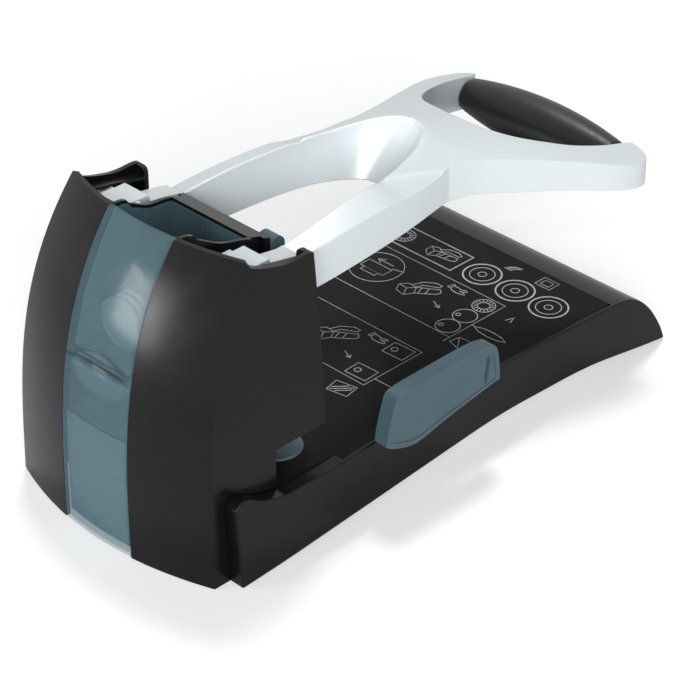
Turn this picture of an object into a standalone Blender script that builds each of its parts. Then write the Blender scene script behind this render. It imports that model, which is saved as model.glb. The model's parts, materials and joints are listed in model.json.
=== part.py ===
"""A heavy-duty two-hole punch, modelled piece by piece at its real size.

X runs across the machine, Y from the front of its tower to the rear of its base,
and Z up. Lengths are metres. The pieces are drawn in the machine's own frame:
x = 0 is its middle, y = 0 the front outer corners of its tower, and z = 0 the
table. One empty, machine, carries them all, and moves them so that the middle of
the whole footprint is the origin. The handle is down, as it is when not in use.
"""

import math

import bmesh
import bpy
from mathutils import Matrix, Vector
from mathutils.geometry import delaunay_2d_cdt

# Clearances that every piece shares
GAP = 0.0003
OVERRUN = 0.006
MERGE = 0.001

# How round things are drawn
SMALL_SIDES = 12
ROUND_SIDES = 24
SMOOTH_BELOW = math.radians(32)

# The holes that the machine makes: their size and distance from the paper's edge
HOLE_RADIUS = 0.003
HOLE_TO_EDGE = 0.012

# The tower's outer shape: its front bows forward, leans back and narrows upwards
COVER_TO_FRAME = 0.0169
TOWER_HEIGHT = 0.1553
TOWER_REAR_Y = 0.072
SIDE_TAPER = 0.0097
FRONT_BOW = 0.0129
FRONT_LEAN = 0.0346
BOW_GROWTH = 0.0031
LEAN_POWER = 3.4
TAPER_POWER = 2
SEAM_HALF_WIDTH = 0.0229
SEAM_TAPER = 0.0011
SEAM_GAP = 0.0003
WINDOW_SPLIT_Z = 0.0909

# The tower's side covers
COVER_WALL = 0.0025
COVER_BOTTOM_Z = 0.0008
THROAT_SIDE_Y = 0.0400
COVER_RIB_DEPTH = 0.0030
COVER_RIB_WIDTH = 0.0020
COVER_RIB_REAR_Y = 0.0705
COVER_RIB_SLOT = 0.0065
COVER_RIB_Z = 0.1110

# The tower's rear covers
REAR_COVER_FLANGE = 0.0012
REAR_COVER_WALL = 0.0015
REAR_COVER_DEPTH = 0.0051
REAR_COVER_SIDE_STEP = 0.0042
REAR_COVER_LEVER_GAP = 0.0040
REAR_COVER_INNER_X = 0.0296

# The throat that the paper goes into
THROAT_TOP_Z = 0.0570
PAPER_STOP_FACE_Y = 0.0540
PAPER_STOP_DEPTH = 0.0024
PAPER_STOP_SIDE_ROOM = 0.0045

# The base
CHEEK_WIDTH = 0.0087
BASE_FRONT_Y = 0.0080
BASE_LENGTH = 0.2998
BASE_HEIGHT = 0.0463
BASE_SIDE_TAPER = 0.0022
BASE_LIFT = 0.0008
ARCH_HEIGHT = 0.0113
CHEEK_WALL = 0.0025
CHEEK_CAVITY_X = 0.0032
CHEEK_CAVITY_FRONT_Y = 0.0110
CHEEK_CAVITY_REAR_Y = 0.0740
CHEEK_CAVITY_TOP_Z = 0.0330
POCKET_REAR_Y = 0.0763
BULKHEAD = 0.0037
SHELL_WALL = 0.0050
DECK_TOP_Z = 0.0358
DECK_THICKNESS = 0.0055
DECK_REAR_SETBACK = 0.0278
TAIL_CAVITY_SETBACK = 0.0178
TAIL_CAVITY_Z = 0.0220
TAIL_TOE_SETBACK = 0.0078
TAIL_TOE_Z = 0.0050

# The printed steel plate on the base
PLATE_THICKNESS = 0.0015
PLATE_SIDE_MARGIN = 0.0040
PLATE_REAR_SETBACK = 0.0418
PLATE_TONGUE_Y = 0.0410
PLATE_NOTCH_MARGIN = 0.0006
PLATE_NOTCH_REAR_Y = 0.0505

# The pan that closes the base from below, and its feet
PAN_TOP_Z = 0.0140
PAN_THICKNESS = 0.0020
PAN_FRONT_MARGIN = 0.0032
PAN_FRONT_Y = 0.0140
PAN_STEP_Y = 0.0810
PAN_SIDE_MARGIN = 0.0057
PAN_REAR_SETBACK = 0.0178
PAN_NOTCH_MARGIN = 0.0037
PAN_NOTCH_REAR_Y = 0.0505
FOOT_RADIUS = 0.0080
FRONT_FOOT_INSET = 0.0103
FRONT_FOOT_Y = 0.0240
REAR_FOOT_INSET = 0.0128
REAR_FOOT_SETBACK = 0.0298

# Screws
SCREW_RADIUS = 0.0017
SCREW_HOLE_RADIUS = 0.0020
SCREW_HEAD_RADIUS = 0.0034
SCREW_HEAD_HEIGHT = 0.0024
FRAME_SCREW_LENGTH = 0.0080
SHELL_SCREW_LENGTH = 0.0120
FRAME_SCREW_FRONT_Y = 0.0240
FRAME_SCREW_REAR_Y = 0.0580
BOSS_RADIUS = 0.0045
BOSS_INSET = 0.0165
FRONT_BOSS_Y = 0.1000
REAR_BOSS_SETBACK = 0.0458

# The centre housing between the two halves of the tower
HOUSING_SETBACK = 0.0031
HOUSING_SEAM_SETBACK = 0.0001
HOUSING_KNEE_Y = 0.0290
HOUSING_FLARE = 0.0062
HOUSING_REAR_Y = 0.0740
HOUSING_WALL = 0.0020
HOUSING_BOTTOM_Z = 0.0040
HOUSING_FLOOR = 0.0035
HOUSING_LOWER_REAR_Y = 0.0500
REAR_WALL_FRONT_Y = 0.0640
LOWER_ROOM_WALL = 0.0018
LOWER_ROOM_REAR_Y = 0.0465
UPPER_FLOOR_Z = 0.0910
UPPER_FLOOR = 0.0020
BACK_ROOM_WALL = 0.0028
BACK_ROOM_FRONT_Y = 0.0530
BACK_ROOM_TOP_Z = 0.0890
WALL_SLOT_FRONT_Y = 0.0640
WALL_SLOT_REAR_Y = 0.0705
WALL_SLOT_DEPTH = 0.0015
WALL_SLOT_BOTTOM_Z = 0.1290
CHUTE_WINDOW_Y = 0.0364
CHUTE_WINDOW_DEPTH = 0.0100
CHUTE_WINDOW_Z = 0.0645
CHUTE_WINDOW_HEIGHT = 0.0180

# The clear box for spare discs, and the clear chip drawer
WINDOW_WALL = 0.0022
BOX_WALL = 0.0018
BOX_BELOW_WALL = 0.0015
DRAWER_WALL = 0.0016
DRAWER_BOTTOM_Z = 0.0015
DRAWER_FLOOR = 0.0020
DRAWER_WALL_TOP_Z = 0.0620
DRAWER_REAR_Y = 0.0455
SPARE_FRONT_ROOM = 0.0037
SPARE_PITCH = 0.0040
SPARE_COUNT = 3

# The punch frames
FRAME_TO_HOUSING = 0.0006
FRAME_WIDTH = 0.0210
FRAME_SIDE = 0.0020
PUNCH_FROM_FRAME = 0.0104
FLANGE_THICKNESS = 0.0030
FLANGE_FRONT_Y = 0.0140
FRAME_REAR_Y = 0.0740
WEB_FRONT_Y = 0.0437
WEB_REAR_Y = 0.0487
ANVIL_THICKNESS = 0.0068
GUIDE_PLATE_FRONT_Y = 0.0400
GUIDE_PLATE_THICKNESS = 0.0060
EAR_FRONT_Y = 0.0160
EAR_REAR_Y = 0.0500
EAR_SHOULDER_Z = 0.0860
EAR_RADIUS = 0.0100
RIB_FROM_FRAME = 0.0034
RIB_WIDTH = 0.0020

# The lever's pivot, its axles and clips
PIVOT_Y = 0.0410
PIVOT_Z = 0.1370
AXLE_RADIUS = 0.0040
AXLE_END = 0.0024
CLIP_THICKNESS = 0.0010
CLIP_SIDE_GAP = 0.0001
CLIP_RADIUS = 0.0068
CLIP_GROOVE_DEPTH = 0.0008
CLIP_MOUTH = 0.0052

# The cutting discs
DISC_OFFSET = 0.0030
DISC_Y = 0.0620
DISC_RADIUS = 0.0130
DISC_THICKNESS = 0.0022
POST_RADIUS = 0.0015
POST_HEAD_RADIUS = 0.0030
POST_HEAD_HEIGHT = 0.0015

# The hollow punches, their bushes, springs, yokes and cross pins
PUNCH_BORE_RADIUS = 0.0023
BUSH_RADIUS = 0.0055
BUSH_FLANGE_RADIUS = 0.0075
BUSH_FLANGE_THICKNESS = 0.0016
SPRING_RADIUS = 0.0062
SPRING_WIRE_RADIUS = 0.0008
SPRING_TURNS = 7
SPRING_POINTS_A_TURN = 9
YOKE_BOTTOM_Z = 0.0910
YOKE_BLOCK_HEIGHT = 0.0120
YOKE_FRONT_Y = 0.0614
YOKE_REAR_Y = 0.0704
YOKE_EAR = 0.0022
YOKE_TOP_Z = 0.1300
PIN_RADIUS = 0.0030
PIN_Z = 0.1250
SLOT_CLEARANCE = 0.0007

# Chip chutes
CHUTE_THICKNESS = 0.0016
CHUTE_INNER_GAP = 0.0004
CHUTE_LOW_Z = 0.0655
CHUTE_HIGH_Z = 0.0820
CHUTE_RAMP_Y = 0.0584
CHUTE_RAMP_Z = 0.0880
CHUTE_RAMP_FOOT_Z = 0.0730

# The lever: two arms that become one neck and part again into two horns
LEVER_FRONT_Y = 0.0760
LEVER_LENGTH = 0.2240
LEVER_SIDE_INSET = 0.0001
LEVER_TOP_Z = 0.1426
LEVER_TOP_DROP = 0.0244
LEVER_BOTTOM_Z = 0.1140
LEVER_BOTTOM_DROP = 0.0225
HUB_RADIUS = 0.0155
LINK_BOTTOM_Z = 0.1170
LINK_STRAIGHT_Y = 0.0600
LEVER_GRID = 0.0100
LEVER_GRID_MARGIN = 0.0035
LEVER_SWING = math.radians(45)

# The grip between the horns, on its rod
GRIP_SETBACK = 0.0086
GRIP_RISE = 0.0107
GRIP_RADIUS = 0.0141
GRIP_END_RADIUS = 0.0087
GRIP_END_GAP = 0.0001
GRIP_STATIONS = 12
ROD_RADIUS = 0.0050
ROD_END = 0.0100

# The paper guide: a fence on a ruler
FENCE_INSET = 0.0011
FENCE_THICKNESS = 0.0078
FENCE_FRONT_Y = 0.0945
FENCE_LENGTH = 0.0772
FENCE_BOTTOM_Z = 0.0328
FENCE_HEIGHT = 0.0327
FENCE_POCKET = 0.0030
FENCE_SLOT_Y = 0.1615
FENCE_SLOT_WIDTH = 0.0022
FENCE_SLOT_Z = 0.0450
FENCE_SLOT_HEIGHT = 0.0120
FENCE_SLOT_DEPTH = 0.0020
RULER_FRONT_Y = 0.1070
RULER_WIDTH = 0.0140
RULER_THICKNESS = 0.0014
RULER_LEFT_INSET = 0.0125
RULER_GROOVE_DEPTH = 0.0019

# The lock that holds the handle down
LOCK_Y = 0.0790
LOCK_Z = 0.1280
LOCK_KNOB_INSET = 0.0100
LOCK_KNOB_WIDTH = 0.0094
LOCK_KNOB_DEPTH = 0.0094
LOCK_KNOB_BOTTOM_Z = 0.1210
LOCK_KNOB_TOP_Z = 0.1390
LOCK_BOLT_RADIUS = 0.0026
LOCK_BOLT_GAP = 0.0008
LOCK_POCKET_DEPTH = 0.0050
LOCK_TRAVEL = 0.0036
LOCK_STEM_WIDTH = 0.0040
LOCK_STEM_HEIGHT = 0.0040
LOCK_STEM_DEPTH = 0.0060

# Outlines and height tables, as shares of the sizes above
# Base rim seen from the side: share of the base's length, share of its height
rim_shares = (
    (0.000, 0.940), (0.013, 1.000), (0.028, 0.985), (0.054, 0.888), (0.093, 0.815), (0.116, 0.801),
    (0.190, 0.797), (0.290, 0.830), (0.450, 0.862), (0.579, 0.870), (0.682, 0.853), (0.804, 0.819),
    (0.885, 0.788), (0.924, 0.706), (0.959, 0.497), (0.987, 0.212), (1.000, 0.000),
)
# Underside arch of the base: share of the base's length, share of the arch's height
arch_shares = (
    (0.994, 0.00), (0.934, 0.24), (0.805, 0.78), (0.682, 0.96), (0.564, 1.00), (0.390, 0.69),
    (0.123, 0.16), (0.004, 0.00),
)
# Saddle-shaped top of the side covers: share of the way back, share of the tower's height
cover_top_shares = (
    (0.00, 0.9955), (0.08, 0.9800), (0.17, 0.9678), (0.35, 0.9530), (0.48, 0.9505), (0.61, 0.9536),
    (0.74, 0.9595), (0.86, 0.9614), (0.95, 0.9465), (1.00, 0.9253),
)
# Top of the centre housing: share of the way to its rear, share of the tower's height
housing_top_shares = (
    (-0.70, 1.000), (0.32, 1.000), (0.49, 0.969), (0.65, 0.931), (0.81, 0.916), (1.00, 0.8905),
)
cover_row_shares = (0.00, 0.25, 0.45, 0.60, 0.72, 0.82, 0.91, 1.00)
cover_column_shares = (0.00, 0.25, 0.50, 0.75, 1.00)
block_row_shares = (0.00, 0.20, 0.40, 0.55, 0.70, 0.80, 0.90, 1.00)
block_column_shares = (-1.0, -0.5, 0.0, 0.5, 1.0)

# Lever seen from above: share of its half width, share of its length
lever_outer_shares = (
    (0.663, 0.000), (0.662, 0.089), (0.628, 0.246), (0.576, 0.379), (0.503, 0.493), (0.556, 0.576),
    (0.684, 0.679), (0.831, 0.781), (0.963, 0.878), (1.000, 0.938), (0.985, 0.975), (0.940, 0.995),
    (0.860, 1.000),
)
lever_horn_shares = (
    (0.790, 0.998), (0.770, 0.970), (0.742, 0.904), (0.662, 0.821), (0.505, 0.732), (0.344, 0.679),
    (0.178, 0.654), (0.000, 0.644),
)
lever_arch_top_shares = (
    (0.000, 0.536), (0.108, 0.523), (0.217, 0.480), (0.320, 0.408), (0.389, 0.335), (0.426, 0.225),
    (0.467, 0.1205), (0.4926, 0.000),
)
lever_arch_bottom_shares = (
    (0.000, 0.4375), (0.110, 0.432), (0.200, 0.4085), (0.306, 0.3616), (0.375, 0.307), (0.426, 0.225),
    (0.460, 0.1205), (0.4926, 0.000),
)
# Crown of the lever's top: share of its length, share of its drop, edge drop as a share of its half width
lever_crown_shares = (
    (0.000, 0.205, 0.188), (0.071, 0.115, 0.223), (0.170, 0.020, 0.283), (0.281, 0.000, 0.330),
    (0.375, 0.000, 0.438), (0.496, 0.020, 0.566), (0.576, 0.127, 0.458), (0.679, 0.311, 0.330),
    (0.763, 0.480, 0.263), (0.821, 0.648, 0.209), (0.904, 0.824, 0.192), (1.000, 1.000, 0.195),
)
lever_underside_shares = (
    (0.000, 0.062), (0.107, 0.053), (0.313, 0.018), (0.420, 0.000), (0.496, 0.031), (0.576, 0.120),
    (0.647, 0.267), (0.746, 0.449), (0.848, 0.676), (0.929, 0.880), (1.000, 1.000),
)
LEVER_SPLINE_STEPS = 3

# Fence seen from the side: share of its length, share of its height
fence_shares = (
    (0.084, 0.940), (0.150, 0.985), (0.300, 1.000), (0.760, 1.000), (0.890, 0.960), (0.950, 0.905),
    (0.980, 0.750), (0.995, 0.500), (1.000, 0.300), (0.975, 0.270), (0.933, 0.265), (0.555, 0.129),
    (0.260, 0.000), (0.089, 0.098), (0.020, 0.180), (0.000, 0.240), (0.020, 0.500), (0.055, 0.780),
)

# Widths worked out from the middle outwards, and the grip's place in the lever
HOUSING_HALF_WIDTH = SEAM_HALF_WIDTH - HOUSING_SEAM_SETBACK
HOUSING_REAR_HALF_WIDTH = HOUSING_HALF_WIDTH + HOUSING_FLARE
LOWER_ROOM_HALF_WIDTH = HOUSING_HALF_WIDTH - LOWER_ROOM_WALL
BACK_ROOM_HALF_WIDTH = HOUSING_HALF_WIDTH - BACK_ROOM_WALL
FRAME_INNER_X = HOUSING_REAR_HALF_WIDTH + FRAME_TO_HOUSING
FRAME_OUTER_X = FRAME_INNER_X + FRAME_WIDTH
PUNCH_X = FRAME_INNER_X + PUNCH_FROM_FRAME
DISC_X = PUNCH_X + DISC_OFFSET
RIB_X = FRAME_INNER_X + RIB_FROM_FRAME
AXLE_INNER_X = FRAME_INNER_X - AXLE_END
AXLE_OUTER_X = FRAME_OUTER_X + AXLE_END
CHUTE_INNER_X = LOWER_ROOM_HALF_WIDTH + CHUTE_INNER_GAP
TOWER_HALF_WIDTH = FRAME_OUTER_X + COVER_TO_FRAME
PAPER_STOP_HALF_WIDTH = TOWER_HALF_WIDTH - PAPER_STOP_SIDE_ROOM
CHEEK_INNER_X = TOWER_HALF_WIDTH + GAP
BASE_HALF_WIDTH = CHEEK_INNER_X + CHEEK_WIDTH
PLATE_HALF_WIDTH = BASE_HALF_WIDTH - PLATE_SIDE_MARGIN
PLATE_NOTCH_HALF_WIDTH = FRAME_OUTER_X + PLATE_NOTCH_MARGIN
PAN_HALF_WIDTH = BASE_HALF_WIDTH - PAN_SIDE_MARGIN
PAN_FRONT_HALF_WIDTH = TOWER_HALF_WIDTH - PAN_FRONT_MARGIN
PAN_NOTCH_HALF_WIDTH = HOUSING_HALF_WIDTH + PAN_NOTCH_MARGIN
FRONT_FOOT_X = PAN_FRONT_HALF_WIDTH - FRONT_FOOT_INSET
REAR_FOOT_X = PAN_HALF_WIDTH - REAR_FOOT_INSET
BOSS_X = BASE_HALF_WIDTH - BOSS_INSET
FENCE_INNER_X = BASE_HALF_WIDTH - FENCE_INSET
RULER_LEFT_X = PLATE_HALF_WIDTH - RULER_LEFT_INSET
LEVER_HALF_WIDTH = TOWER_HALF_WIDTH - LEVER_SIDE_INSET
ARM_INNER_X = LEVER_HALF_WIDTH * lever_arch_top_shares[-1][0]
GRIP_HALF_LENGTH = LEVER_HALF_WIDTH * lever_horn_shares[2][0] - GRIP_END_GAP
ROD_HALF_LENGTH = GRIP_HALF_LENGTH + ROD_END
GRIP_Y = LEVER_FRONT_Y + LEVER_LENGTH - GRIP_SETBACK
GRIP_Z = LEVER_BOTTOM_Z - LEVER_BOTTOM_DROP + GRIP_RISE
LOCK_KNOB_X = HOUSING_REAR_HALF_WIDTH - LOCK_KNOB_INSET
LOCK_BOLT_TIP_X = ARM_INNER_X - LOCK_BOLT_GAP

# Lengths worked out from the base's rear end
BASE_REAR_Y = BASE_FRONT_Y + BASE_LENGTH
PLATE_REAR_Y = BASE_REAR_Y - PLATE_REAR_SETBACK
DECK_REAR_Y = BASE_REAR_Y - DECK_REAR_SETBACK
TAIL_CAVITY_Y = BASE_REAR_Y - TAIL_CAVITY_SETBACK
TAIL_TOE_Y = BASE_REAR_Y - TAIL_TOE_SETBACK
PAN_REAR_Y = BASE_REAR_Y - PAN_REAR_SETBACK
REAR_FOOT_Y = BASE_REAR_Y - REAR_FOOT_SETBACK
REAR_BOSS_Y = BASE_REAR_Y - REAR_BOSS_SETBACK

# Other places worked out from the sizes
REAR_COVER_TOP_Z = LEVER_BOTTOM_Z - REAR_COVER_LEVER_GAP
PUNCH_Y = PAPER_STOP_FACE_Y + HOLE_TO_EDGE
PLATE_BOTTOM_Z = DECK_TOP_Z + GAP
PLATE_TOP_Z = PLATE_BOTTOM_Z + PLATE_THICKNESS
DISC_BOTTOM_Z = DECK_TOP_Z + GAP
DISC_TOP_Z = DISC_BOTTOM_Z + DISC_THICKNESS
PUNCH_TIP_Z = DISC_TOP_Z + GAP
FLANGE_BOTTOM_Z = PAN_TOP_Z + GAP
FLANGE_TOP_Z = FLANGE_BOTTOM_Z + FLANGE_THICKNESS
PAN_BOTTOM_Z = PAN_TOP_Z - PAN_THICKNESS
SCREW_HEAD_TOP_Z = PAN_BOTTOM_Z - GAP
ANVIL_BOTTOM_Z = DECK_TOP_Z - ANVIL_THICKNESS
GUIDE_PLATE_BOTTOM_Z = THROAT_TOP_Z + GAP
GUIDE_PLATE_TOP_Z = GUIDE_PLATE_BOTTOM_Z + GUIDE_PLATE_THICKNESS
BUSH_FLANGE_Z = GUIDE_PLATE_TOP_Z + GAP
SPRING_BOTTOM_Z = BUSH_FLANGE_Z + BUSH_FLANGE_THICKNESS + GAP
SPRING_TOP_Z = YOKE_BOTTOM_Z - GAP
YOKE_BLOCK_TOP_Z = YOKE_BOTTOM_Z + YOKE_BLOCK_HEIGHT
HUB_INNER_X = FRAME_INNER_X + FRAME_SIDE + GAP
HUB_OUTER_X = FRAME_OUTER_X - FRAME_SIDE - GAP
YOKE_INNER_X = HUB_INNER_X + GAP
YOKE_OUTER_X = HUB_OUTER_X - GAP
LINK_INNER_X = YOKE_INNER_X + YOKE_EAR + GAP
LINK_OUTER_X = YOKE_OUTER_X - YOKE_EAR - GAP
PIN_ANGLE = math.atan2(PIN_Z - PIVOT_Z, PUNCH_Y - PIVOT_Y)
PIN_REACH = math.hypot(PIN_Z - PIVOT_Z, PUNCH_Y - PIVOT_Y)
PUNCH_TRAVEL = (PUNCH_Y - PIVOT_Y) * math.tan(LEVER_SWING + PIN_ANGLE) - (PIN_Z - PIVOT_Z)
ROD_CENTRE = (GRIP_Y, GRIP_Z)
PIVOT = (PIVOT_Y, PIVOT_Z)
LOCK_CENTRE = (LOCK_Y, LOCK_Z)
SHIFT_X = (BASE_HALF_WIDTH - FENCE_INNER_X - FENCE_THICKNESS) / 2
SHIFT_Y = (FRONT_BOW - BASE_FRONT_Y - BASE_LENGTH) / 2

# Finishes: colour, roughness, metallic and how much light passes through
FINISHES = {
    "black_plastic": ((0.017, 0.017, 0.019), 0.32, 0.0, 0.0),
    "black_rubber": ((0.012, 0.012, 0.013), 0.55, 0.0, 0.0),
    "black_steel": ((0.014, 0.013, 0.013), 0.38, 0.3, 0.0),
    "clear_slate": ((0.090, 0.150, 0.180), 0.12, 0.0, 0.7),
    "slate_plastic": ((0.085, 0.135, 0.162), 0.35, 0.0, 0.0),
    "silver_paint": ((0.560, 0.610, 0.640), 0.36, 0.3, 0.0),
    "zinc_steel": ((0.480, 0.490, 0.500), 0.35, 0.9, 0.0),
    "bright_steel": ((0.620, 0.620, 0.630), 0.18, 1.0, 0.0),
    "brass": ((0.600, 0.430, 0.180), 0.28, 1.0, 0.0),
}


def clear_scene():
    """Removes what the file starts with."""
    for obj in list(bpy.data.objects):
        bpy.data.objects.remove(obj, do_unlink=True)


def on_axis(axis, at, pair):
    """The point whose place along the axis is at, and whose other two places are the pair."""
    first, second = pair
    if axis == "X":
        return (at, first, second)
    if axis == "Y":
        return (first, at, second)
    return (first, second, at)


def mesh_object(name, points, faces):
    """An object with these points and faces, its faces turned outwards."""
    mesh = bpy.data.meshes.new(name)
    mesh.from_pydata([tuple(point) for point in points], [], faces)
    shape = bmesh.new()
    shape.from_mesh(mesh)
    bmesh.ops.recalc_face_normals(shape, faces=shape.faces)
    shape.to_mesh(mesh)
    shape.free()
    obj = bpy.data.objects.new(name, mesh)
    bpy.context.scene.collection.objects.link(obj)
    return obj


def lofted(rings, ends="capped"):
    """A body through rings that have equally many points. Its ends are flat, or joined to each other."""
    count = len(rings[0])
    points = [point for ring in rings for point in ring]
    faces = []
    spans = len(rings) if ends == "joined" else len(rings) - 1
    for span in range(spans):
        here = span * count
        there = (span + 1) % len(rings) * count
        for step in range(count):
            following = (step + 1) % count
            faces.append((here + step, here + following, there + following, there + step))
    if ends == "capped":
        faces.append(tuple(range(count)))
        faces.append(tuple(range(len(points) - count, len(points))))
    return mesh_object("body", points, faces)


def prism(outline, low, high, axis):
    """An outline drawn out along an axis."""
    return lofted([[on_axis(axis, at, pair) for pair in outline] for at in (low, high)])


def block(low, high):
    """A box between two corners."""
    outline = ((low[0], low[1]), (high[0], low[1]), (high[0], high[1]), (low[0], high[1]))
    return prism(outline, low[2], high[2], "Z")


def circle(centre, radius, sides):
    """Points round a circle, in the plane that the centre's pair lies in."""
    angles = (math.tau * step / sides for step in range(sides))
    return [(centre[0] + radius * math.cos(a), centre[1] + radius * math.sin(a)) for a in angles]


def rod(centre, radius, low, high, axis, sides=SMALL_SIDES):
    """A round bar along an axis."""
    return prism(circle(centre, radius, sides), low, high, axis)


def turned(stations, centre, axis, sides=SMALL_SIDES):
    """A solid turned about an axis, through stations of place and radius."""
    rings = []
    for at, radius in stations:
        rings.append([on_axis(axis, at, pair) for pair in circle(centre, radius, sides)])
    return lofted(rings)


def tube(outer, inner, centre, low, high, axis, sides=SMALL_SIDES):
    """A round tube along an axis."""
    stations = ((low, outer), (high, outer), (high, inner), (low, inner))
    rings = []
    for at, radius in stations:
        rings.append([on_axis(axis, at, pair) for pair in circle(centre, radius, sides)])
    return lofted(rings, "joined")


def combine(target, tools, operation):
    """Joins the tools to the target, or cuts or intersects it with them, and removes the tools."""
    for tool in tools:
        modifier = target.modifiers.new("shape", "BOOLEAN")
        modifier.operation = operation
        modifier.solver = "EXACT"
        modifier.object = tool
    graph = bpy.context.evaluated_depsgraph_get()
    mesh = bpy.data.meshes.new_from_object(target.evaluated_get(graph))
    target.modifiers.clear()
    target.data = mesh
    for tool in tools:
        bpy.data.objects.remove(tool, do_unlink=True)
    return target


def joined(shapes):
    """One body of shapes that overlap."""
    return combine(shapes[0], shapes[1:], "UNION")


def cut(target, tools):
    """The target with the tools cut out of it."""
    return combine(target, tools, "DIFFERENCE")


def common(target, tools):
    """What the target has in common with every tool."""
    return combine(target, tools, "INTERSECT")


def handed(obj, side):
    """The object as it is for side 1, at +X, or its mirror image for side -1."""
    if side < 0:
        obj.data.transform(Matrix.Diagonal((-1, 1, 1, 1)))
        obj.data.flip_normals()
    return obj


def hand(side):
    """The word that names a side of the machine."""
    return "right" if side > 0 else "left"


def finish_material(name, finish):
    """A Principled material of its own for one piece."""
    colour, roughness, metallic, passing = FINISHES[finish]
    material = bpy.data.materials.new(name)
    material.use_nodes = True
    shader = material.node_tree.nodes["Principled BSDF"]
    shader.inputs["Base Color"].default_value = (*colour, 1)
    shader.inputs["Roughness"].default_value = roughness
    shader.inputs["Metallic"].default_value = metallic
    shader.inputs["Transmission Weight"].default_value = passing
    material.diffuse_color = (*colour, 1 - passing / 2)
    return material


def place(obj, name, finish, pivot=(0, 0, 0)):
    """Names and finishes a piece, and hangs it on the machine with its origin at its pivot."""
    obj.data.transform(Matrix.Translation(-Vector(pivot)))
    obj.name = name
    obj.data.name = name
    obj.data.materials.clear()
    obj.data.materials.append(finish_material(name, finish))
    obj.data.shade_smooth()
    obj.data.set_sharp_from_angle(angle=SMOOTH_BELOW)
    obj.location = pivot
    obj.parent = bpy.data.objects["machine"]
    return obj


def smooth_points(controls, steps):
    """Points on a smooth curve through the controls, with so many steps between each two."""
    ends = [controls[0], *controls, controls[-1]]
    points = []
    for index in range(1, len(ends) - 2):
        before, start, stop, after = (Vector(ends[index + shift]) for shift in (-1, 0, 1, 2))
        for step in range(steps):
            t = step / steps
            bend = (stop - before) * t + (2 * before - 5 * start + 4 * stop - after) * t**2
            bend += (3 * start - before - 3 * stop + after) * t**3
            points.append(start + bend / 2)
    points.append(Vector(controls[-1]))
    return points


def between(table, at, column=1):
    """Reads a table of places and values at one place, on straight lines between its rows."""
    if at <= table[0][0]:
        return table[0][column]
    for first, second in zip(table, table[1:]):
        if at <= second[0]:
            part = (at - first[0]) / (second[0] - first[0])
            return first[column] + (second[column] - first[column]) * part
    return table[-1][column]


def rise_at(z):
    """Height as a share of the tower's."""
    return max(z, 0) / TOWER_HEIGHT


def side_at(z):
    """Half width of the tower's outside at a height."""
    return TOWER_HALF_WIDTH - SIDE_TAPER * rise_at(z) ** TAPER_POWER


def seam_at(z):
    """Half width of the clear strip in the tower's front at a height, out to the middle of the seam."""
    return SEAM_HALF_WIDTH - SEAM_TAPER * rise_at(z)


def front_at(x, z):
    """How far back the tower's front surface lies at one place."""
    across = (x / TOWER_HALF_WIDTH) ** 2
    bow = FRONT_BOW + BOW_GROWTH * rise_at(z)
    return FRONT_LEAN * rise_at(z) ** LEAN_POWER - FRONT_BOW + bow * across


def cover_point(column, z, inset):
    """A point of a side cover: columns 0 to 1 run along the front, and 1 to 2 along the side."""
    seam = seam_at(z) + SEAM_GAP / 2
    side = side_at(z) - inset
    if column < 1:
        x = seam + (side - seam) * column
        return (x, front_at(x, z) + inset, z)
    corner = front_at(side, z) + inset
    return (side, corner + (TOWER_REAR_Y - corner) * (column - 1), z)


def cover_top_at(column):
    """Height of a side cover's top edge."""
    if column < 1:
        return TOWER_HEIGHT * (1 + (cover_top_shares[0][1] - 1) * column)
    return TOWER_HEIGHT * between(cover_top_shares, column - 1)


def cover_layer(columns, outside, inside, low, below_top):
    """A layer of a side cover between two insets, over some of its columns."""
    rings = []
    for column in columns:
        top = cover_top_at(column) - below_top
        heights = [low + (top - low) * share for share in cover_row_shares]
        skin = [cover_point(column, z, outside) for z in heights]
        rings.append(skin + [cover_point(column, z, inside) for z in reversed(heights)])
    return lofted(rings)


def side_cover(side):
    """Half of the tower's casing: it wraps from the seam in front round one side."""
    side_columns = [1 + share for share, _ in cover_top_shares]
    cover = cover_layer([*cover_column_shares[:-1], *side_columns], 0, COVER_WALL, COVER_BOTTOM_Z, 0)
    lining = cover_layer(side_columns, COVER_WALL - MERGE, COVER_WALL + COVER_RIB_DEPTH, COVER_RIB_Z, GAP)
    front_rib_y = COVER_RIB_REAR_Y - COVER_RIB_SLOT - COVER_RIB_WIDTH
    ribs = []
    for low, high in ((front_rib_y, front_rib_y + COVER_RIB_WIDTH), (COVER_RIB_REAR_Y, TOWER_REAR_Y - GAP)):
        ribs.append(block((0, low, 0), (TOWER_HALF_WIDTH, high, TOWER_HEIGHT)))
    cover = joined([cover, common(lining, [joined(ribs)])])
    throat = block(
        (0, THROAT_SIDE_Y, -OVERRUN), (TOWER_HALF_WIDTH + OVERRUN, TOWER_REAR_Y + OVERRUN, THROAT_TOP_Z)
    )
    place(handed(cut(cover, [throat]), side), f"{hand(side)}_tower_cover", "black_plastic")


def rear_cover_outline(low, high, step):
    """Outline of a rear cover, seen from behind, whose side keeps a step inside the side cover's."""
    count = len(cover_row_shares) - 1
    heights = [low + (high - low) * index / count for index in range(count + 1)]
    edge = [(side_at(z) - COVER_WALL - GAP - step, z) for z in heights]
    return [(REAR_COVER_INNER_X, low), *edge, (REAR_COVER_INNER_X, high)]


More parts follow.
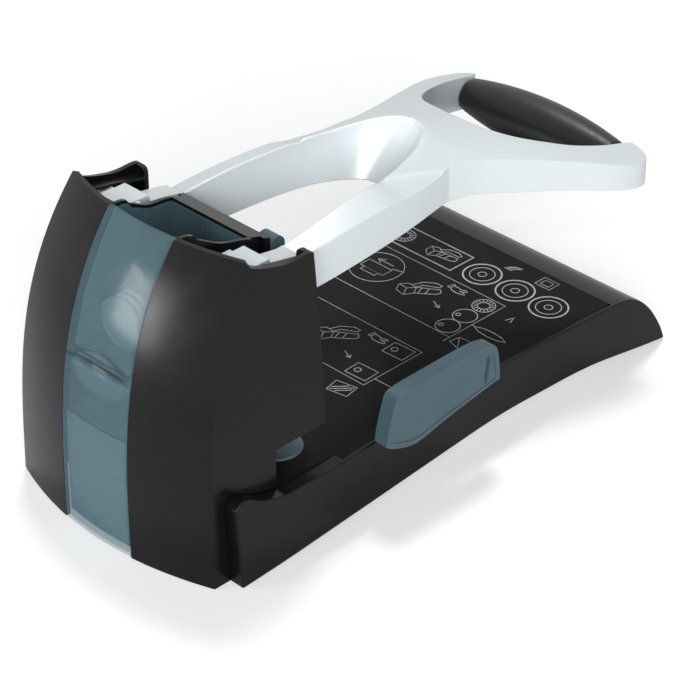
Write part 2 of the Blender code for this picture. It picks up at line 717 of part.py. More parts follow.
def rear_cover(side):
    """A shallow cover that closes one side of the tower from behind, below the lever's arm."""
    low = GUIDE_PLATE_BOTTOM_Z
    inner_top = REAR_COVER_TOP_Z - REAR_COVER_WALL
    rear = TOWER_REAR_Y + REAR_COVER_DEPTH
    flange_y = TOWER_REAR_Y - REAR_COVER_FLANGE
    flange = prism(rear_cover_outline(low, REAR_COVER_TOP_Z, 0), flange_y, TOWER_REAR_Y, "Y")
    tray_outline = rear_cover_outline(low, REAR_COVER_TOP_Z, REAR_COVER_SIDE_STEP)
    tray = prism(tray_outline, TOWER_REAR_Y - MERGE, rear, "Y")
    step = REAR_COVER_SIDE_STEP + REAR_COVER_WALL
    hollow_outline = rear_cover_outline(low - OVERRUN, inner_top, step)
    hollow_outline[0] = (REAR_COVER_INNER_X - OVERRUN, low - OVERRUN)
    hollow_outline[-1] = (REAR_COVER_INNER_X - OVERRUN, inner_top)
    hollow = prism(hollow_outline, flange_y - OVERRUN, rear - REAR_COVER_WALL, "Y")
    cover = cut(joined([flange, tray]), [hollow])
    place(handed(cover, side), f"{hand(side)}_rear_cover", "black_plastic")


def housing_half_at(y):
    """Half width of the centre housing's outside at a place on the way back."""
    part = max(y - HOUSING_KNEE_Y, 0) / (HOUSING_REAR_Y - HOUSING_KNEE_Y)
    return HOUSING_HALF_WIDTH + (HOUSING_REAR_HALF_WIDTH - HOUSING_HALF_WIDTH) * part


def centre_block(setback, inset, rear, low, high):
    """A body that follows the tower's front, and then the centre housing's sides, at an inset."""
    half = HOUSING_HALF_WIDTH - inset
    rear_half = housing_half_at(rear) - inset
    rings = []
    for share in block_row_shares:
        z = low + (high - low) * share
        ring = [(half * at, front_at(half * at, z) + setback, z) for at in block_column_shares]
        ring += [(half, HOUSING_KNEE_Y, z), (rear_half, rear, z)]
        ring += [(-rear_half, rear, z), (-half, HOUSING_KNEE_Y, z)]
        rings.append(ring)
    return lofted(rings)


def above_saddle(lowered):
    """What lies above the centre housing's saddle-shaped top, lowered by some amount."""
    edge = [(HOUSING_REAR_Y * at, TOWER_HEIGHT * up - lowered) for at, up in housing_top_shares]
    rear = HOUSING_REAR_Y + OVERRUN
    sky = TOWER_HEIGHT + 3 * OVERRUN
    outline = [*edge, (rear, edge[-1][1]), (rear, sky), (edge[0][0], sky)]
    return prism(outline, -TOWER_HALF_WIDTH, TOWER_HALF_WIDTH, "X")


def centre_housing():
    """The black body between the tower's halves: it holds the disc box, the drawer and the lock."""
    above = TOWER_HEIGHT + MERGE
    body = centre_block(HOUSING_SETBACK, 0, HOUSING_REAR_Y, HOUSING_BOTTOM_Z, above)
    upper_floor_top = UPPER_FLOOR_Z + UPPER_FLOOR
    upper_room = centre_block(-OVERRUN, HOUSING_WALL, REAR_WALL_FRONT_Y, upper_floor_top, above + MERGE)
    half = LOWER_ROOM_HALF_WIDTH
    lower_room = block(
        (-half, -FRONT_BOW - OVERRUN, HOUSING_BOTTOM_Z + HOUSING_FLOOR),
        (half, LOWER_ROOM_REAR_Y, UPPER_FLOOR_Z),
    )
    wide = HOUSING_REAR_HALF_WIDTH + OVERRUN
    behind = HOUSING_REAR_Y + OVERRUN
    throat = block((-wide, HOUSING_LOWER_REAR_Y, -OVERRUN), (wide, behind, GUIDE_PLATE_BOTTOM_Z))
    back_half = BACK_ROOM_HALF_WIDTH
    back_room = block(
        (-back_half, BACK_ROOM_FRONT_Y, THROAT_TOP_Z - OVERRUN),
        (back_half, REAR_WALL_FRONT_Y, BACK_ROOM_TOP_Z),
    )
    tools = [above_saddle(0), upper_room, lower_room, throat, back_room, lock_slot()]
    for side in (1, -1):
        slot_x = housing_half_at(WALL_SLOT_FRONT_Y) - WALL_SLOT_DEPTH
        slot = block(
            (slot_x, WALL_SLOT_FRONT_Y, WALL_SLOT_BOTTOM_Z), (wide, WALL_SLOT_REAR_Y, above + OVERRUN)
        )
        window_rear = CHUTE_WINDOW_Y + CHUTE_WINDOW_DEPTH
        window_top = CHUTE_WINDOW_Z + CHUTE_WINDOW_HEIGHT
        window = block((half - OVERRUN, CHUTE_WINDOW_Y, CHUTE_WINDOW_Z), (wide, window_rear, window_top))
        tools += [handed(slot, side), handed(window, side)]
    place(cut(body, tools), "centre_housing", "black_plastic")


def lock_slot():
    """The slot in the housing's rear wall that the lock's stem slides in."""
    low_x = LOCK_KNOB_X + GAP
    high_x = low_x + LOCK_STEM_WIDTH + LOCK_TRAVEL + 2 * GAP
    low_z = LOCK_Z - LOCK_STEM_HEIGHT / 2 - GAP
    high_z = LOCK_Z + LOCK_STEM_HEIGHT / 2 + GAP
    front = HOUSING_REAR_Y - LOCK_STEM_DEPTH - GAP
    return block((low_x - GAP, front, low_z), (high_x, HOUSING_REAR_Y + OVERRUN, high_z))


def window_strip(low, high):
    """A piece of the clear strip in the tower's front, between two heights."""
    rings = []
    for share in block_row_shares:
        z = low + (high - low) * share
        half = seam_at(z) - SEAM_GAP / 2
        face = [(half * at, front_at(half * at, z), z) for at in block_column_shares]
        rings.append(face + [(x, y + WINDOW_WALL, z) for x, y, z in reversed(face)])
    return lofted(rings)


def storage_box():
    """The clear open-topped box for spare discs, whose front is the upper half of the window."""
    strip = window_strip(WINDOW_SPLIT_Z + SEAM_GAP / 2, TOWER_HEIGHT)
    inset = HOUSING_WALL + GAP
    rear = REAR_WALL_FRONT_Y - GAP
    floor = UPPER_FLOOR_Z + UPPER_FLOOR + GAP
    above = TOWER_HEIGHT + MERGE
    tub = centre_block(MERGE, inset, rear, floor, above)
    room = centre_block(
        WINDOW_WALL, inset + BOX_WALL, rear - BOX_WALL, floor + BOX_WALL, above + MERGE
    )
    tub = cut(tub, [room, above_saddle(BOX_BELOW_WALL)])
    place(joined([strip, tub]), "storage_box", "clear_slate")


def spare_discs():
    """Spare cutting discs that stand in the clear box."""
    floor = UPPER_FLOOR_Z + UPPER_FLOOR + GAP + BOX_WALL
    centre = (0, floor + GAP + DISC_RADIUS)
    first_y = front_at(0, centre[1] + DISC_RADIUS) + WINDOW_WALL + SPARE_FRONT_ROOM
    for index in range(SPARE_COUNT):
        low = first_y + SPARE_PITCH * index
        disc = tube(
            DISC_RADIUS, POST_RADIUS + GAP, centre, low, low + DISC_THICKNESS, "Y", ROUND_SIDES
        )
        place(disc, f"spare_disc_{index + 1}", "slate_plastic")


def chip_drawer():
    """The clear drawer that catches the chips, whose front is the lower half of the window."""
    strip = window_strip(DRAWER_BOTTOM_Z, WINDOW_SPLIT_Z - SEAM_GAP / 2)
    half = LOWER_ROOM_HALF_WIDTH - 2 * GAP
    ahead = -FRONT_BOW - OVERRUN
    floor = HOUSING_BOTTOM_Z + HOUSING_FLOOR + GAP
    bin_body = block((-half, ahead, floor), (half, DRAWER_REAR_Y, DRAWER_WALL_TOP_Z))
    bin_body = common(bin_body, [centre_block(MERGE, 0, HOUSING_REAR_Y, 0, TOWER_HEIGHT)])
    inner = half - DRAWER_WALL
    room = block(
        (-inner, ahead, floor + DRAWER_FLOOR),
        (inner, DRAWER_REAR_Y - DRAWER_WALL, DRAWER_WALL_TOP_Z + OVERRUN),
    )
    room = common(room, [centre_block(WINDOW_WALL, 0, HOUSING_REAR_Y, 0, TOWER_HEIGHT)])
    place(joined([strip, cut(bin_body, [room])]), "chip_drawer", "clear_slate")


def base_half_at(z):
    """Half width of the base's outside at a height."""
    return BASE_HALF_WIDTH - BASE_SIDE_TAPER * z / BASE_HEIGHT


def base_shell():
    """The moulded base: a deck with rims, two cheeks beside the tower, and an arched underside."""
    outline = []
    for shares, height in ((rim_shares, BASE_HEIGHT - BASE_LIFT), (arch_shares, ARCH_HEIGHT)):
        outline += [(BASE_FRONT_Y + BASE_LENGTH * at, BASE_LIFT + height * up) for at, up in shares]
    rings = []
    for side in (-1, 1):
        rings.append([(side * base_half_at(z), y, z) for y, z in outline])
    body = lofted(rings)
    inner = BASE_HALF_WIDTH - SHELL_WALL
    deck_bottom = DECK_TOP_Z - DECK_THICKNESS
    cavity_front = POCKET_REAR_Y + BULKHEAD
    hollow = (
        (cavity_front, -OVERRUN), (cavity_front, deck_bottom), (DECK_REAR_Y, deck_bottom),
        (TAIL_CAVITY_Y, TAIL_CAVITY_Z), (TAIL_TOE_Y, TAIL_TOE_Z), (TAIL_TOE_Y, -OVERRUN),
    )
    plate_half = PLATE_HALF_WIDTH + GAP
    groove_low = DECK_TOP_Z - RULER_GROOVE_DEPTH
    groove_front = RULER_FRONT_Y - GAP
    groove_rear = RULER_FRONT_Y + RULER_WIDTH + GAP
    left_end = -RULER_LEFT_X - 2 * GAP
    top = BASE_HEIGHT + OVERRUN
    tools = [
        prism(hollow, -inner, inner, "X"),
        block((-CHEEK_INNER_X, BASE_FRONT_Y - OVERRUN, -OVERRUN), (CHEEK_INNER_X, POCKET_REAR_Y, top)),
        block(
            (-CHEEK_INNER_X, POCKET_REAR_Y - OVERRUN, -OVERRUN),
            (CHEEK_INNER_X, cavity_front + OVERRUN, PAN_TOP_Z + GAP),
        ),
        block((-plate_half, POCKET_REAR_Y - GAP, DECK_TOP_Z), (plate_half, PLATE_REAR_Y + GAP, top)),
        block((left_end, groove_front, groove_low), (inner, groove_rear, top)),
        block((0, groove_front, groove_low), (BASE_HALF_WIDTH + OVERRUN, groove_rear, DECK_TOP_Z + GAP)),
    ]
    for side in (1, -1):
        cheek_low_x = CHEEK_INNER_X + CHEEK_WALL
        cheek = block(
            (cheek_low_x, CHEEK_CAVITY_FRONT_Y, -OVERRUN),
            (cheek_low_x + CHEEK_CAVITY_X, CHEEK_CAVITY_REAR_Y, CHEEK_CAVITY_TOP_Z),
        )
        tools.append(handed(cheek, side))
    body = cut(body, tools)
    bosses = []
    for centre in boss_places():
        boss = tube(BOSS_RADIUS, SCREW_HOLE_RADIUS, centre, PAN_TOP_Z + GAP, deck_bottom + MERGE, "Z")
        bosses.append(boss)
    place(joined([body, *bosses]), "base_shell", "black_plastic")


def boss_places():
    """Where the base's four screw bosses stand."""
    return [(side * BOSS_X, y) for side in (-1, 1) for y in (FRONT_BOSS_Y, REAR_BOSS_Y)]


def frame_screw_places():
    """Where the four screws of the punch frames go through the pan."""
    return [(side * PUNCH_X, y) for side in (-1, 1) for y in (FRAME_SCREW_FRONT_Y, FRAME_SCREW_REAR_Y)]


def base_plate():
    """The printed steel plate that the paper lies on, with a hole round each cutting disc."""
    step_y = POCKET_REAR_Y
    half = PLATE_HALF_WIDTH
    tongue = CHEEK_INNER_X - GAP
    notch = PLATE_NOTCH_HALF_WIDTH
    right = (
        (notch, PLATE_NOTCH_REAR_Y), (notch, PLATE_TONGUE_Y), (tongue, PLATE_TONGUE_Y),
        (tongue, step_y), (half, step_y), (half, PLATE_REAR_Y),
    )
    left = [(-x, y) for x, y in reversed(right)]
    plate = prism([*right, *left], PLATE_BOTTOM_Z, PLATE_TOP_Z, "Z")
    low = PLATE_BOTTOM_Z - OVERRUN
    high = PLATE_TOP_Z + OVERRUN
    holes = []
    for side in (1, -1):
        holes.append(rod((side * DISC_X, DISC_Y), DISC_RADIUS + GAP, low, high, "Z", ROUND_SIDES))
    place(cut(plate, holes), "base_plate", "black_steel")


def base_pan():
    """The steel pan that closes the base from below and carries the punch frames."""
    right = (
        (PAN_NOTCH_HALF_WIDTH, PAN_NOTCH_REAR_Y), (PAN_NOTCH_HALF_WIDTH, PAN_FRONT_Y),
        (PAN_FRONT_HALF_WIDTH, PAN_FRONT_Y), (PAN_FRONT_HALF_WIDTH, PAN_STEP_Y),
        (PAN_HALF_WIDTH, PAN_STEP_Y), (PAN_HALF_WIDTH, PAN_REAR_Y),
    )
    left = [(-x, y) for x, y in reversed(right)]
    pan = prism([*right, *left], PAN_BOTTOM_Z, PAN_TOP_Z, "Z")
    holes = []
    for centre in [*boss_places(), *frame_screw_places()]:
        holes.append(rod(centre, SCREW_HOLE_RADIUS, PAN_BOTTOM_Z - OVERRUN, PAN_TOP_Z + OVERRUN, "Z"))
    place(cut(pan, holes), "base_pan", "zinc_steel")


def feet():
    """Four round rubber feet under the pan."""
    for word, x, y in (("front", FRONT_FOOT_X, FRONT_FOOT_Y), ("rear", REAR_FOOT_X, REAR_FOOT_Y)):
        for side in (1, -1):
            foot = rod((side * x, y), FOOT_RADIUS, 0, PAN_BOTTOM_Z - GAP, "Z", ROUND_SIDES)
            place(foot, f"{word}_{hand(side)}_foot", "black_rubber")


def screws():
    """The screws that hold the pan to the punch frames and to the base's bosses."""
    kinds = (
        ("frame_screw", frame_screw_places(), FRAME_SCREW_LENGTH),
        ("base_screw", boss_places(), SHELL_SCREW_LENGTH),
    )
    for name, places, length in kinds:
        for index, centre in enumerate(places):
            head_bottom = SCREW_HEAD_TOP_Z - SCREW_HEAD_HEIGHT
            stations = (
                (head_bottom, SCREW_HEAD_RADIUS), (SCREW_HEAD_TOP_Z, SCREW_HEAD_RADIUS),
                (SCREW_HEAD_TOP_Z, SCREW_RADIUS), (SCREW_HEAD_TOP_Z + length, SCREW_RADIUS),
            )
            place(turned(stations, centre, "Z"), f"{name}_{index + 1}", "zinc_steel")


def ear_outline():
    """Side of a punch frame seen along X: a foot, a throat side and an ear round the pivot."""
    arc = []
    steps = SMALL_SIDES
    for step in range(steps + 1):
        angle = math.pi * step / steps
        arc.append((PIVOT_Y + EAR_RADIUS * math.cos(angle), PIVOT_Z + EAR_RADIUS * math.sin(angle)))
    return [
        (EAR_FRONT_Y, FLANGE_BOTTOM_Z), (WEB_REAR_Y, FLANGE_BOTTOM_Z),
        (WEB_REAR_Y, GUIDE_PLATE_BOTTOM_Z), (FRAME_REAR_Y, GUIDE_PLATE_BOTTOM_Z),
        (FRAME_REAR_Y, GUIDE_PLATE_TOP_Z), (EAR_REAR_Y, GUIDE_PLATE_TOP_Z), (EAR_REAR_Y, EAR_SHOULDER_Z),
        *arc, (EAR_FRONT_Y, EAR_SHOULDER_Z),
    ]


def punch_frame(side):
    """A steel C frame: anvil plate below the throat, guide plate above it, and ears for the pivot."""
    low_x = FRAME_INNER_X
    high_x = FRAME_OUTER_X
    inner_side = prism(ear_outline(), low_x, low_x + FRAME_SIDE, "X")
    outer_side = prism(ear_outline(), high_x - FRAME_SIDE, high_x, "X")
    flange = block((low_x, FLANGE_FRONT_Y, FLANGE_BOTTOM_Z), (high_x, FRAME_REAR_Y, FLANGE_TOP_Z))
    web = block((low_x, WEB_FRONT_Y, FLANGE_BOTTOM_Z), (high_x, WEB_REAR_Y, GUIDE_PLATE_TOP_Z))
    anvil = block((low_x, WEB_FRONT_Y, ANVIL_BOTTOM_Z), (high_x, FRAME_REAR_Y, DECK_TOP_Z))
    guide = block(
        (low_x, GUIDE_PLATE_FRONT_Y, GUIDE_PLATE_BOTTOM_Z), (high_x, FRAME_REAR_Y, GUIDE_PLATE_TOP_Z)
    )
    rib = block(
        (RIB_X, WEB_FRONT_Y, FLANGE_BOTTOM_Z),
        (RIB_X + RIB_WIDTH, FRAME_REAR_Y - MERGE, DECK_TOP_Z - MERGE),
    )
    frame = joined([flange, web, anvil, guide, rib, inner_side, outer_side])
    far = high_x + OVERRUN
    window_top = CHUTE_WINDOW_Z + CHUTE_WINDOW_HEIGHT
    tools = [
        rod(PIVOT, AXLE_RADIUS + GAP, low_x - OVERRUN, far, "X", ROUND_SIDES),
        rod((PUNCH_X, PUNCH_Y), BUSH_RADIUS + GAP, THROAT_TOP_Z - OVERRUN, GUIDE_PLATE_TOP_Z + OVERRUN, "Z"),
        rod((DISC_X, DISC_Y), POST_RADIUS + GAP, ANVIL_BOTTOM_Z - OVERRUN, DECK_TOP_Z + OVERRUN, "Z"),
        block(
            (low_x - OVERRUN, CHUTE_WINDOW_Y, CHUTE_WINDOW_Z),
            (low_x + FRAME_SIDE + GAP, CHUTE_WINDOW_Y + CHUTE_WINDOW_DEPTH, window_top),
        ),
    ]
    for y in (FRAME_SCREW_FRONT_Y, FRAME_SCREW_REAR_Y):
        tools.append(rod((PUNCH_X, y), SCREW_HOLE_RADIUS, PAN_TOP_Z - OVERRUN, FLANGE_TOP_Z + MERGE, "Z"))
    place(handed(cut(frame, tools), side), f"{hand(side)}_punch_frame", "zinc_steel")


def axle(side):
    """The fixed axle that one side of the lever turns on, with a groove at each end for its clip."""
    neck = AXLE_RADIUS - CLIP_GROOVE_DEPTH
    stations = [(AXLE_INNER_X, AXLE_RADIUS)]
    for low in clip_places():
        high = low + CLIP_THICKNESS + 2 * CLIP_SIDE_GAP
        stations += [(low, AXLE_RADIUS), (low, neck), (high, neck), (high, AXLE_RADIUS)]
    stations.append((AXLE_OUTER_X, AXLE_RADIUS))
    place(handed(turned(stations, PIVOT, "X", ROUND_SIDES), side), f"{hand(side)}_axle", "bright_steel")


def clip_places():
    """Where the grooves for the axle clips start, just outside the frame's two ears."""
    inner = FRAME_INNER_X - GAP - CLIP_THICKNESS - CLIP_SIDE_GAP
    return (inner, FRAME_OUTER_X + GAP - CLIP_SIDE_GAP)


def axle_clips(side):
    """Spring clips in the axle's grooves: open rings that keep it in the frame."""
    for word, low in zip(("inner", "outer"), clip_places()):
        start = low + CLIP_SIDE_GAP
        bore = AXLE_RADIUS - CLIP_GROOVE_DEPTH + GAP
        ring = tube(CLIP_RADIUS, bore, PIVOT, start, start + CLIP_THICKNESS, "X", ROUND_SIDES)
        mouth = block(
            (start - OVERRUN, PIVOT_Y - CLIP_MOUTH / 2, PIVOT_Z - 2 * CLIP_RADIUS),
            (start + OVERRUN, PIVOT_Y + CLIP_MOUTH / 2, PIVOT_Z),
        )
        place(handed(cut(ring, [mouth]), side), f"{hand(side)}_{word}_axle_clip", "bright_steel")


def disc_place(side):
    """The middle of a cutting disc, on its own axis."""
    return (side * DISC_X, DISC_Y)


def cutting_disc(side):
    """A plastic disc that the punch cuts against: it turns, so that it wears evenly."""
    centre = disc_place(side)
    disc = tube(DISC_RADIUS, POST_RADIUS + GAP, centre, DISC_BOTTOM_Z, DISC_TOP_Z, "Z", ROUND_SIDES)
    place(disc, f"{hand(side)}_cutting_disc", "slate_plastic", (*centre, DISC_BOTTOM_Z))


def disc_post(side):
    """The headed post that a cutting disc turns on."""
    head_top = ANVIL_BOTTOM_Z - GAP
    stations = (
        (head_top - POST_HEAD_HEIGHT, POST_HEAD_RADIUS), (head_top, POST_HEAD_RADIUS),
        (head_top, POST_RADIUS), (DISC_TOP_Z - GAP, POST_RADIUS),
    )
    place(turned(stations, disc_place(side), "Z"), f"{hand(side)}_disc_post", "bright_steel")


def paper_stop():
    """The bar across the throat that the paper's edge is pushed against."""
    half = PAPER_STOP_HALF_WIDTH
    bar = block(
        (-half, PAPER_STOP_FACE_Y - PAPER_STOP_DEPTH, DISC_TOP_Z + GAP),
        (half, PAPER_STOP_FACE_Y, THROAT_TOP_Z),
    )
    place(bar, "paper_stop", "zinc_steel")


def guide_bush(side):
    """The brass bush that guides a punch through the plate above the throat."""
    centre = (side * PUNCH_X, PUNCH_Y)
    top = BUSH_FLANGE_Z + BUSH_FLANGE_THICKNESS
    bore = HOLE_RADIUS + GAP
    stations = (
        (GUIDE_PLATE_BOTTOM_Z, BUSH_RADIUS), (BUSH_FLANGE_Z, BUSH_RADIUS),
        (BUSH_FLANGE_Z, BUSH_FLANGE_RADIUS), (top, BUSH_FLANGE_RADIUS), (top, bore),
        (GUIDE_PLATE_BOTTOM_Z, bore),
    )
    rings = [[on_axis("Z", at, pair) for pair in circle(centre, r, SMALL_SIDES)] for at, r in stations]
    place(lofted(rings, "joined"), f"{hand(side)}_guide_bush", "brass")


def chip_chute(side):
    """A bent plate that leads chips from behind the punch down into the drawer."""
    low_x = CHUTE_INNER_X
    high_x = YOKE_OUTER_X
    slope = (
        (low_x, CHUTE_LOW_Z), (high_x, CHUTE_HIGH_Z), (high_x, CHUTE_HIGH_Z + CHUTE_THICKNESS),
        (low_x, CHUTE_LOW_Z + CHUTE_THICKNESS),
    )
    front = CHUTE_WINDOW_Y + GAP
    rear = CHUTE_WINDOW_Y + CHUTE_WINDOW_DEPTH - GAP
    floor = prism(slope, front, rear, "Y")
    ramp_outline = (
        (rear - CHUTE_THICKNESS, CHUTE_RAMP_FOOT_Z), (rear, CHUTE_RAMP_FOOT_Z),
        (CHUTE_RAMP_Y, CHUTE_RAMP_Z), (CHUTE_RAMP_Y - CHUTE_THICKNESS, CHUTE_RAMP_Z + CHUTE_THICKNESS),
    )
    ramp = prism(ramp_outline, YOKE_INNER_X, high_x, "X")
    place(handed(joined([floor, ramp]), side), f"{hand(side)}_chip_chute", "black_plastic")


def punch(side):
    """A hollow steel punch, whose chips rise through its bore."""
    top = YOKE_BLOCK_TOP_Z - GAP
    centre = (side * PUNCH_X, PUNCH_Y)
    shape = tube(HOLE_RADIUS, PUNCH_BORE_RADIUS, centre, PUNCH_TIP_Z, top, "Z")
    place(shape, f"{hand(side)}_punch", "bright_steel", (*centre, PUNCH_TIP_Z))


def yoke(side):
    """The block on a punch's top, whose ears hold the pin that the lever moves."""
    low_x, high_x = YOKE_INNER_X, YOKE_OUTER_X
    body = block((low_x, YOKE_FRONT_Y, YOKE_BOTTOM_Z), (high_x, YOKE_REAR_Y, YOKE_TOP_Z))
    tools = [
        block(
            (low_x + YOKE_EAR, YOKE_FRONT_Y - OVERRUN, YOKE_BLOCK_TOP_Z),
            (high_x - YOKE_EAR, YOKE_REAR_Y + OVERRUN, YOKE_TOP_Z + OVERRUN),
        ),
        rod((PUNCH_X, PUNCH_Y), HOLE_RADIUS + GAP, YOKE_BOTTOM_Z - OVERRUN, YOKE_TOP_Z, "Z"),
        rod((PUNCH_Y, PIN_Z), PIN_RADIUS + GAP, low_x - OVERRUN, high_x + OVERRUN, "X"),
    ]
    shape = handed(cut(body, tools), side)
    place(shape, f"{hand(side)}_yoke", "zinc_steel", (side * PUNCH_X, PUNCH_Y, YOKE_BOTTOM_Z))


def cross_pin(side):
    """The pin through a yoke's ears and the lever's slot."""
    pin = rod((PUNCH_Y, PIN_Z), PIN_RADIUS, YOKE_INNER_X, YOKE_OUTER_X, "X")
    place(handed(pin, side), f"{hand(side)}_cross_pin", "bright_steel", (side * PUNCH_X, PUNCH_Y, PIN_Z))


def spring_points(side):
    """The helix of a return spring, which stands round its punch."""
    height = SPRING_TOP_Z - SPRING_BOTTOM_Z - 2 * SPRING_WIRE_RADIUS
    count = SPRING_TURNS * SPRING_POINTS_A_TURN
    points = []
    for step in range(count + 1):
        angle = math.tau * step / SPRING_POINTS_A_TURN
        x = side * PUNCH_X + SPRING_RADIUS * math.cos(angle)
        y = PUNCH_Y + SPRING_RADIUS * math.sin(angle)
        points.append((x, y, SPRING_BOTTOM_Z + SPRING_WIRE_RADIUS + height * step / count))
    return points


def return_spring(side):
    """The spring that lifts a punch and the lever: one unbroken coil of wire."""
    points = spring_points(side)
    curve = bpy.data.curves.new("spring", "CURVE")
    curve.dimensions = "3D"
    curve.bevel_depth = SPRING_WIRE_RADIUS
    curve.bevel_resolution = 1
    curve.use_fill_caps = True
    spline = curve.splines.new("POLY")
    spline.points.add(len(points) - 1)
    for node, point in zip(spline.points, points):
        node.co = (*point, 1)
    guide = bpy.data.objects.new("spring", curve)
    bpy.context.scene.collection.objects.link(guide)
    graph = bpy.context.evaluated_depsgraph_get()
    mesh = bpy.data.meshes.new_from_object(guide.evaluated_get(graph))
    bpy.data.objects.remove(guide, do_unlink=True)
    weld = bmesh.new()
    weld.from_mesh(mesh)
    bmesh.ops.remove_doubles(weld, verts=weld.verts, dist=SPRING_WIRE_RADIUS / 100)
    bmesh.ops.recalc_face_normals(weld, faces=weld.faces)
    weld.to_mesh(mesh)
    weld.free()
    shape = bpy.data.objects.new("spring", mesh)
    bpy.context.scene.collection.objects.link(shape)
    place(shape, f"{hand(side)}_return_spring", "bright_steel")
    print(hand(side), "spring's least gap to itself, mm:", round(1000 * least_gap(points), 2))


def least_gap(points):
    """The least gap between a spring's turns, measured on the points of its wire."""
    least = math.inf
    turn = SPRING_POINTS_A_TURN // 2
    for index, point in enumerate(points):
        for other in points[index + turn:]:
            least = min(least, math.dist(point, other))
    return least - 2 * SPRING_WIRE_RADIUS


def lever_scale(controls):
    """Turns shares of the lever's half width and length into places."""
    return [Vector((LEVER_HALF_WIDTH * x, LEVER_FRONT_Y + LEVER_LENGTH * y)) for x, y in controls]


def lever_loop(arch_shares_here):
    """The lever's outline: outer edge, horn, neck, and the arch between the arms, on both sides."""
    steps = LEVER_SPLINE_STEPS
    outer = smooth_points(lever_scale(lever_outer_shares), steps)
    horn = smooth_points(lever_scale(lever_horn_shares), steps)
    arch = smooth_points(lever_scale(arch_shares_here), steps)
    right = [*outer, *horn]
    left = [Vector((-p.x, p.y)) for p in reversed(right[:-1])]
    left_arch = [Vector((-p.x, p.y)) for p in reversed(arch)]
    return [*right, *left, *left_arch, *arch[1:]]


def lever_top(x, y):
    """Height of the lever's crowned top."""
    along = (y - LEVER_FRONT_Y) / LEVER_LENGTH
    crown = LEVER_TOP_Z - LEVER_TOP_DROP * between(lever_crown_shares, along)
    edge = LEVER_HALF_WIDTH * between(lever_crown_shares, along, 2)
    return crown - edge * (x / LEVER_HALF_WIDTH) ** 2


def lever_underside(x, y):
    """Height of the lever's underside, which is level from side to side."""
    along = (y - LEVER_FRONT_Y) / LEVER_LENGTH
    return LEVER_BOTTOM_Z - LEVER_BOTTOM_DROP * between(lever_underside_shares, along)


def inside(point, loop):
    """Whether a point lies inside a closed loop."""
    crossings = False
    for first, second in zip(loop, [*loop[1:], loop[0]]):
        if (first.y > point.y) != (second.y > point.y):
            part = (point.y - first.y) / (second.y - first.y)
            if point.x < first.x + (second.x - first.x) * part:
                crossings = not crossings
    return crossings


def distance_to(point, loop):
    """Distance from a point to the nearest edge of a loop."""
    least = math.inf
    for first, second in zip(loop, [*loop[1:], loop[0]]):
        along = second - first
        part = min(max((point - first).dot(along) / along.length_squared, 0), 1)
        least = min(least, (point - first - along * part).length)
    return least


def loop_skin(loop, height):
    """Points and triangles of a surface over a loop, whose height is a function of place."""
    places = list(loop)
    columns = int(LEVER_HALF_WIDTH / LEVER_GRID)
    rows = int(LEVER_LENGTH / LEVER_GRID)
    for column in range(-columns, columns + 1):
        for row in range(1, rows + 1):
            place_here = Vector((LEVER_GRID * column, LEVER_FRONT_Y + LEVER_GRID * row))
            if inside(place_here, loop) and distance_to(place_here, loop) > LEVER_GRID_MARGIN:
                places.append(place_here)
    edges = [(index, (index + 1) % len(loop)) for index in range(len(loop))]
    found = delaunay_2d_cdt(places, edges, [], 0, GAP / 100)
    spots, triangles, origins = found[0], found[2], found[3]
    points = [None] * len(places)
    for origin in origins:
        for index in origin:
            points[index] = (places[index].x, places[index].y, height(*places[index]))
    kept = []
    for corners in triangles:
        middle = sum((spots[corner] for corner in corners), Vector((0, 0))) / len(corners)
        if inside(middle, loop):
            kept.append(tuple(origins[corner][0] for corner in corners))
    return points, kept


def lever_plate():
    """The lever's moulded body behind the tower, crowned above and level below."""
    top_loop = lever_loop(lever_arch_top_shares)
    bottom_loop = lever_loop(lever_arch_bottom_shares)
    top_points, top_faces = loop_skin(top_loop, lever_top)
    bottom_points, bottom_faces = loop_skin(bottom_loop, lever_underside)
    shift = len(top_points)
    faces = [*top_faces]
    faces += [tuple(corner + shift for corner in corners) for corners in bottom_faces]
    count = len(top_loop)
    for index in range(count):
        following = (index + 1) % count
        faces.append((index, following, following + shift, index + shift))
    return mesh_object("lever", [*top_points, *bottom_points], faces)


def lever_link():
    """The right arm's link, from the moulded body forward to its hub on the axle."""
    join_y = LEVER_FRONT_Y + MERGE
    arm_inner = ARM_INNER_X + GAP
    arm_outer = LEVER_HALF_WIDTH * lever_outer_shares[0][0] - GAP
    bend_y = LEVER_FRONT_Y - HUB_RADIUS / 4
    plan = (
        (LINK_INNER_X, PIVOT_Y), (LINK_OUTER_X, PIVOT_Y), (LINK_OUTER_X, bend_y), (arm_outer, join_y),
        (arm_inner, join_y), (LINK_INNER_X, bend_y),
    )
    body = prism(plan, LEVER_BOTTOM_Z - OVERRUN, LEVER_TOP_Z + OVERRUN, "Z")
    link_top = lever_top(LINK_INNER_X, LEVER_FRONT_Y) - GAP
    hub_top = PIVOT_Z + HUB_RADIUS - MERGE
    arm_bottom = lever_underside(0, LEVER_FRONT_Y) + GAP
    side = (
        (PIVOT_Y, hub_top), (PIVOT_Y + HUB_RADIUS, PIVOT_Z + MERGE), (join_y + OVERRUN, link_top),
        (join_y + OVERRUN, arm_bottom), (LEVER_FRONT_Y - MERGE, arm_bottom), (LINK_STRAIGHT_Y, LINK_BOTTOM_Z),
        (PIVOT_Y, PIVOT_Z - HUB_RADIUS + MERGE),
    )
    return common(body, [prism(side, 0, LEVER_HALF_WIDTH, "X")])


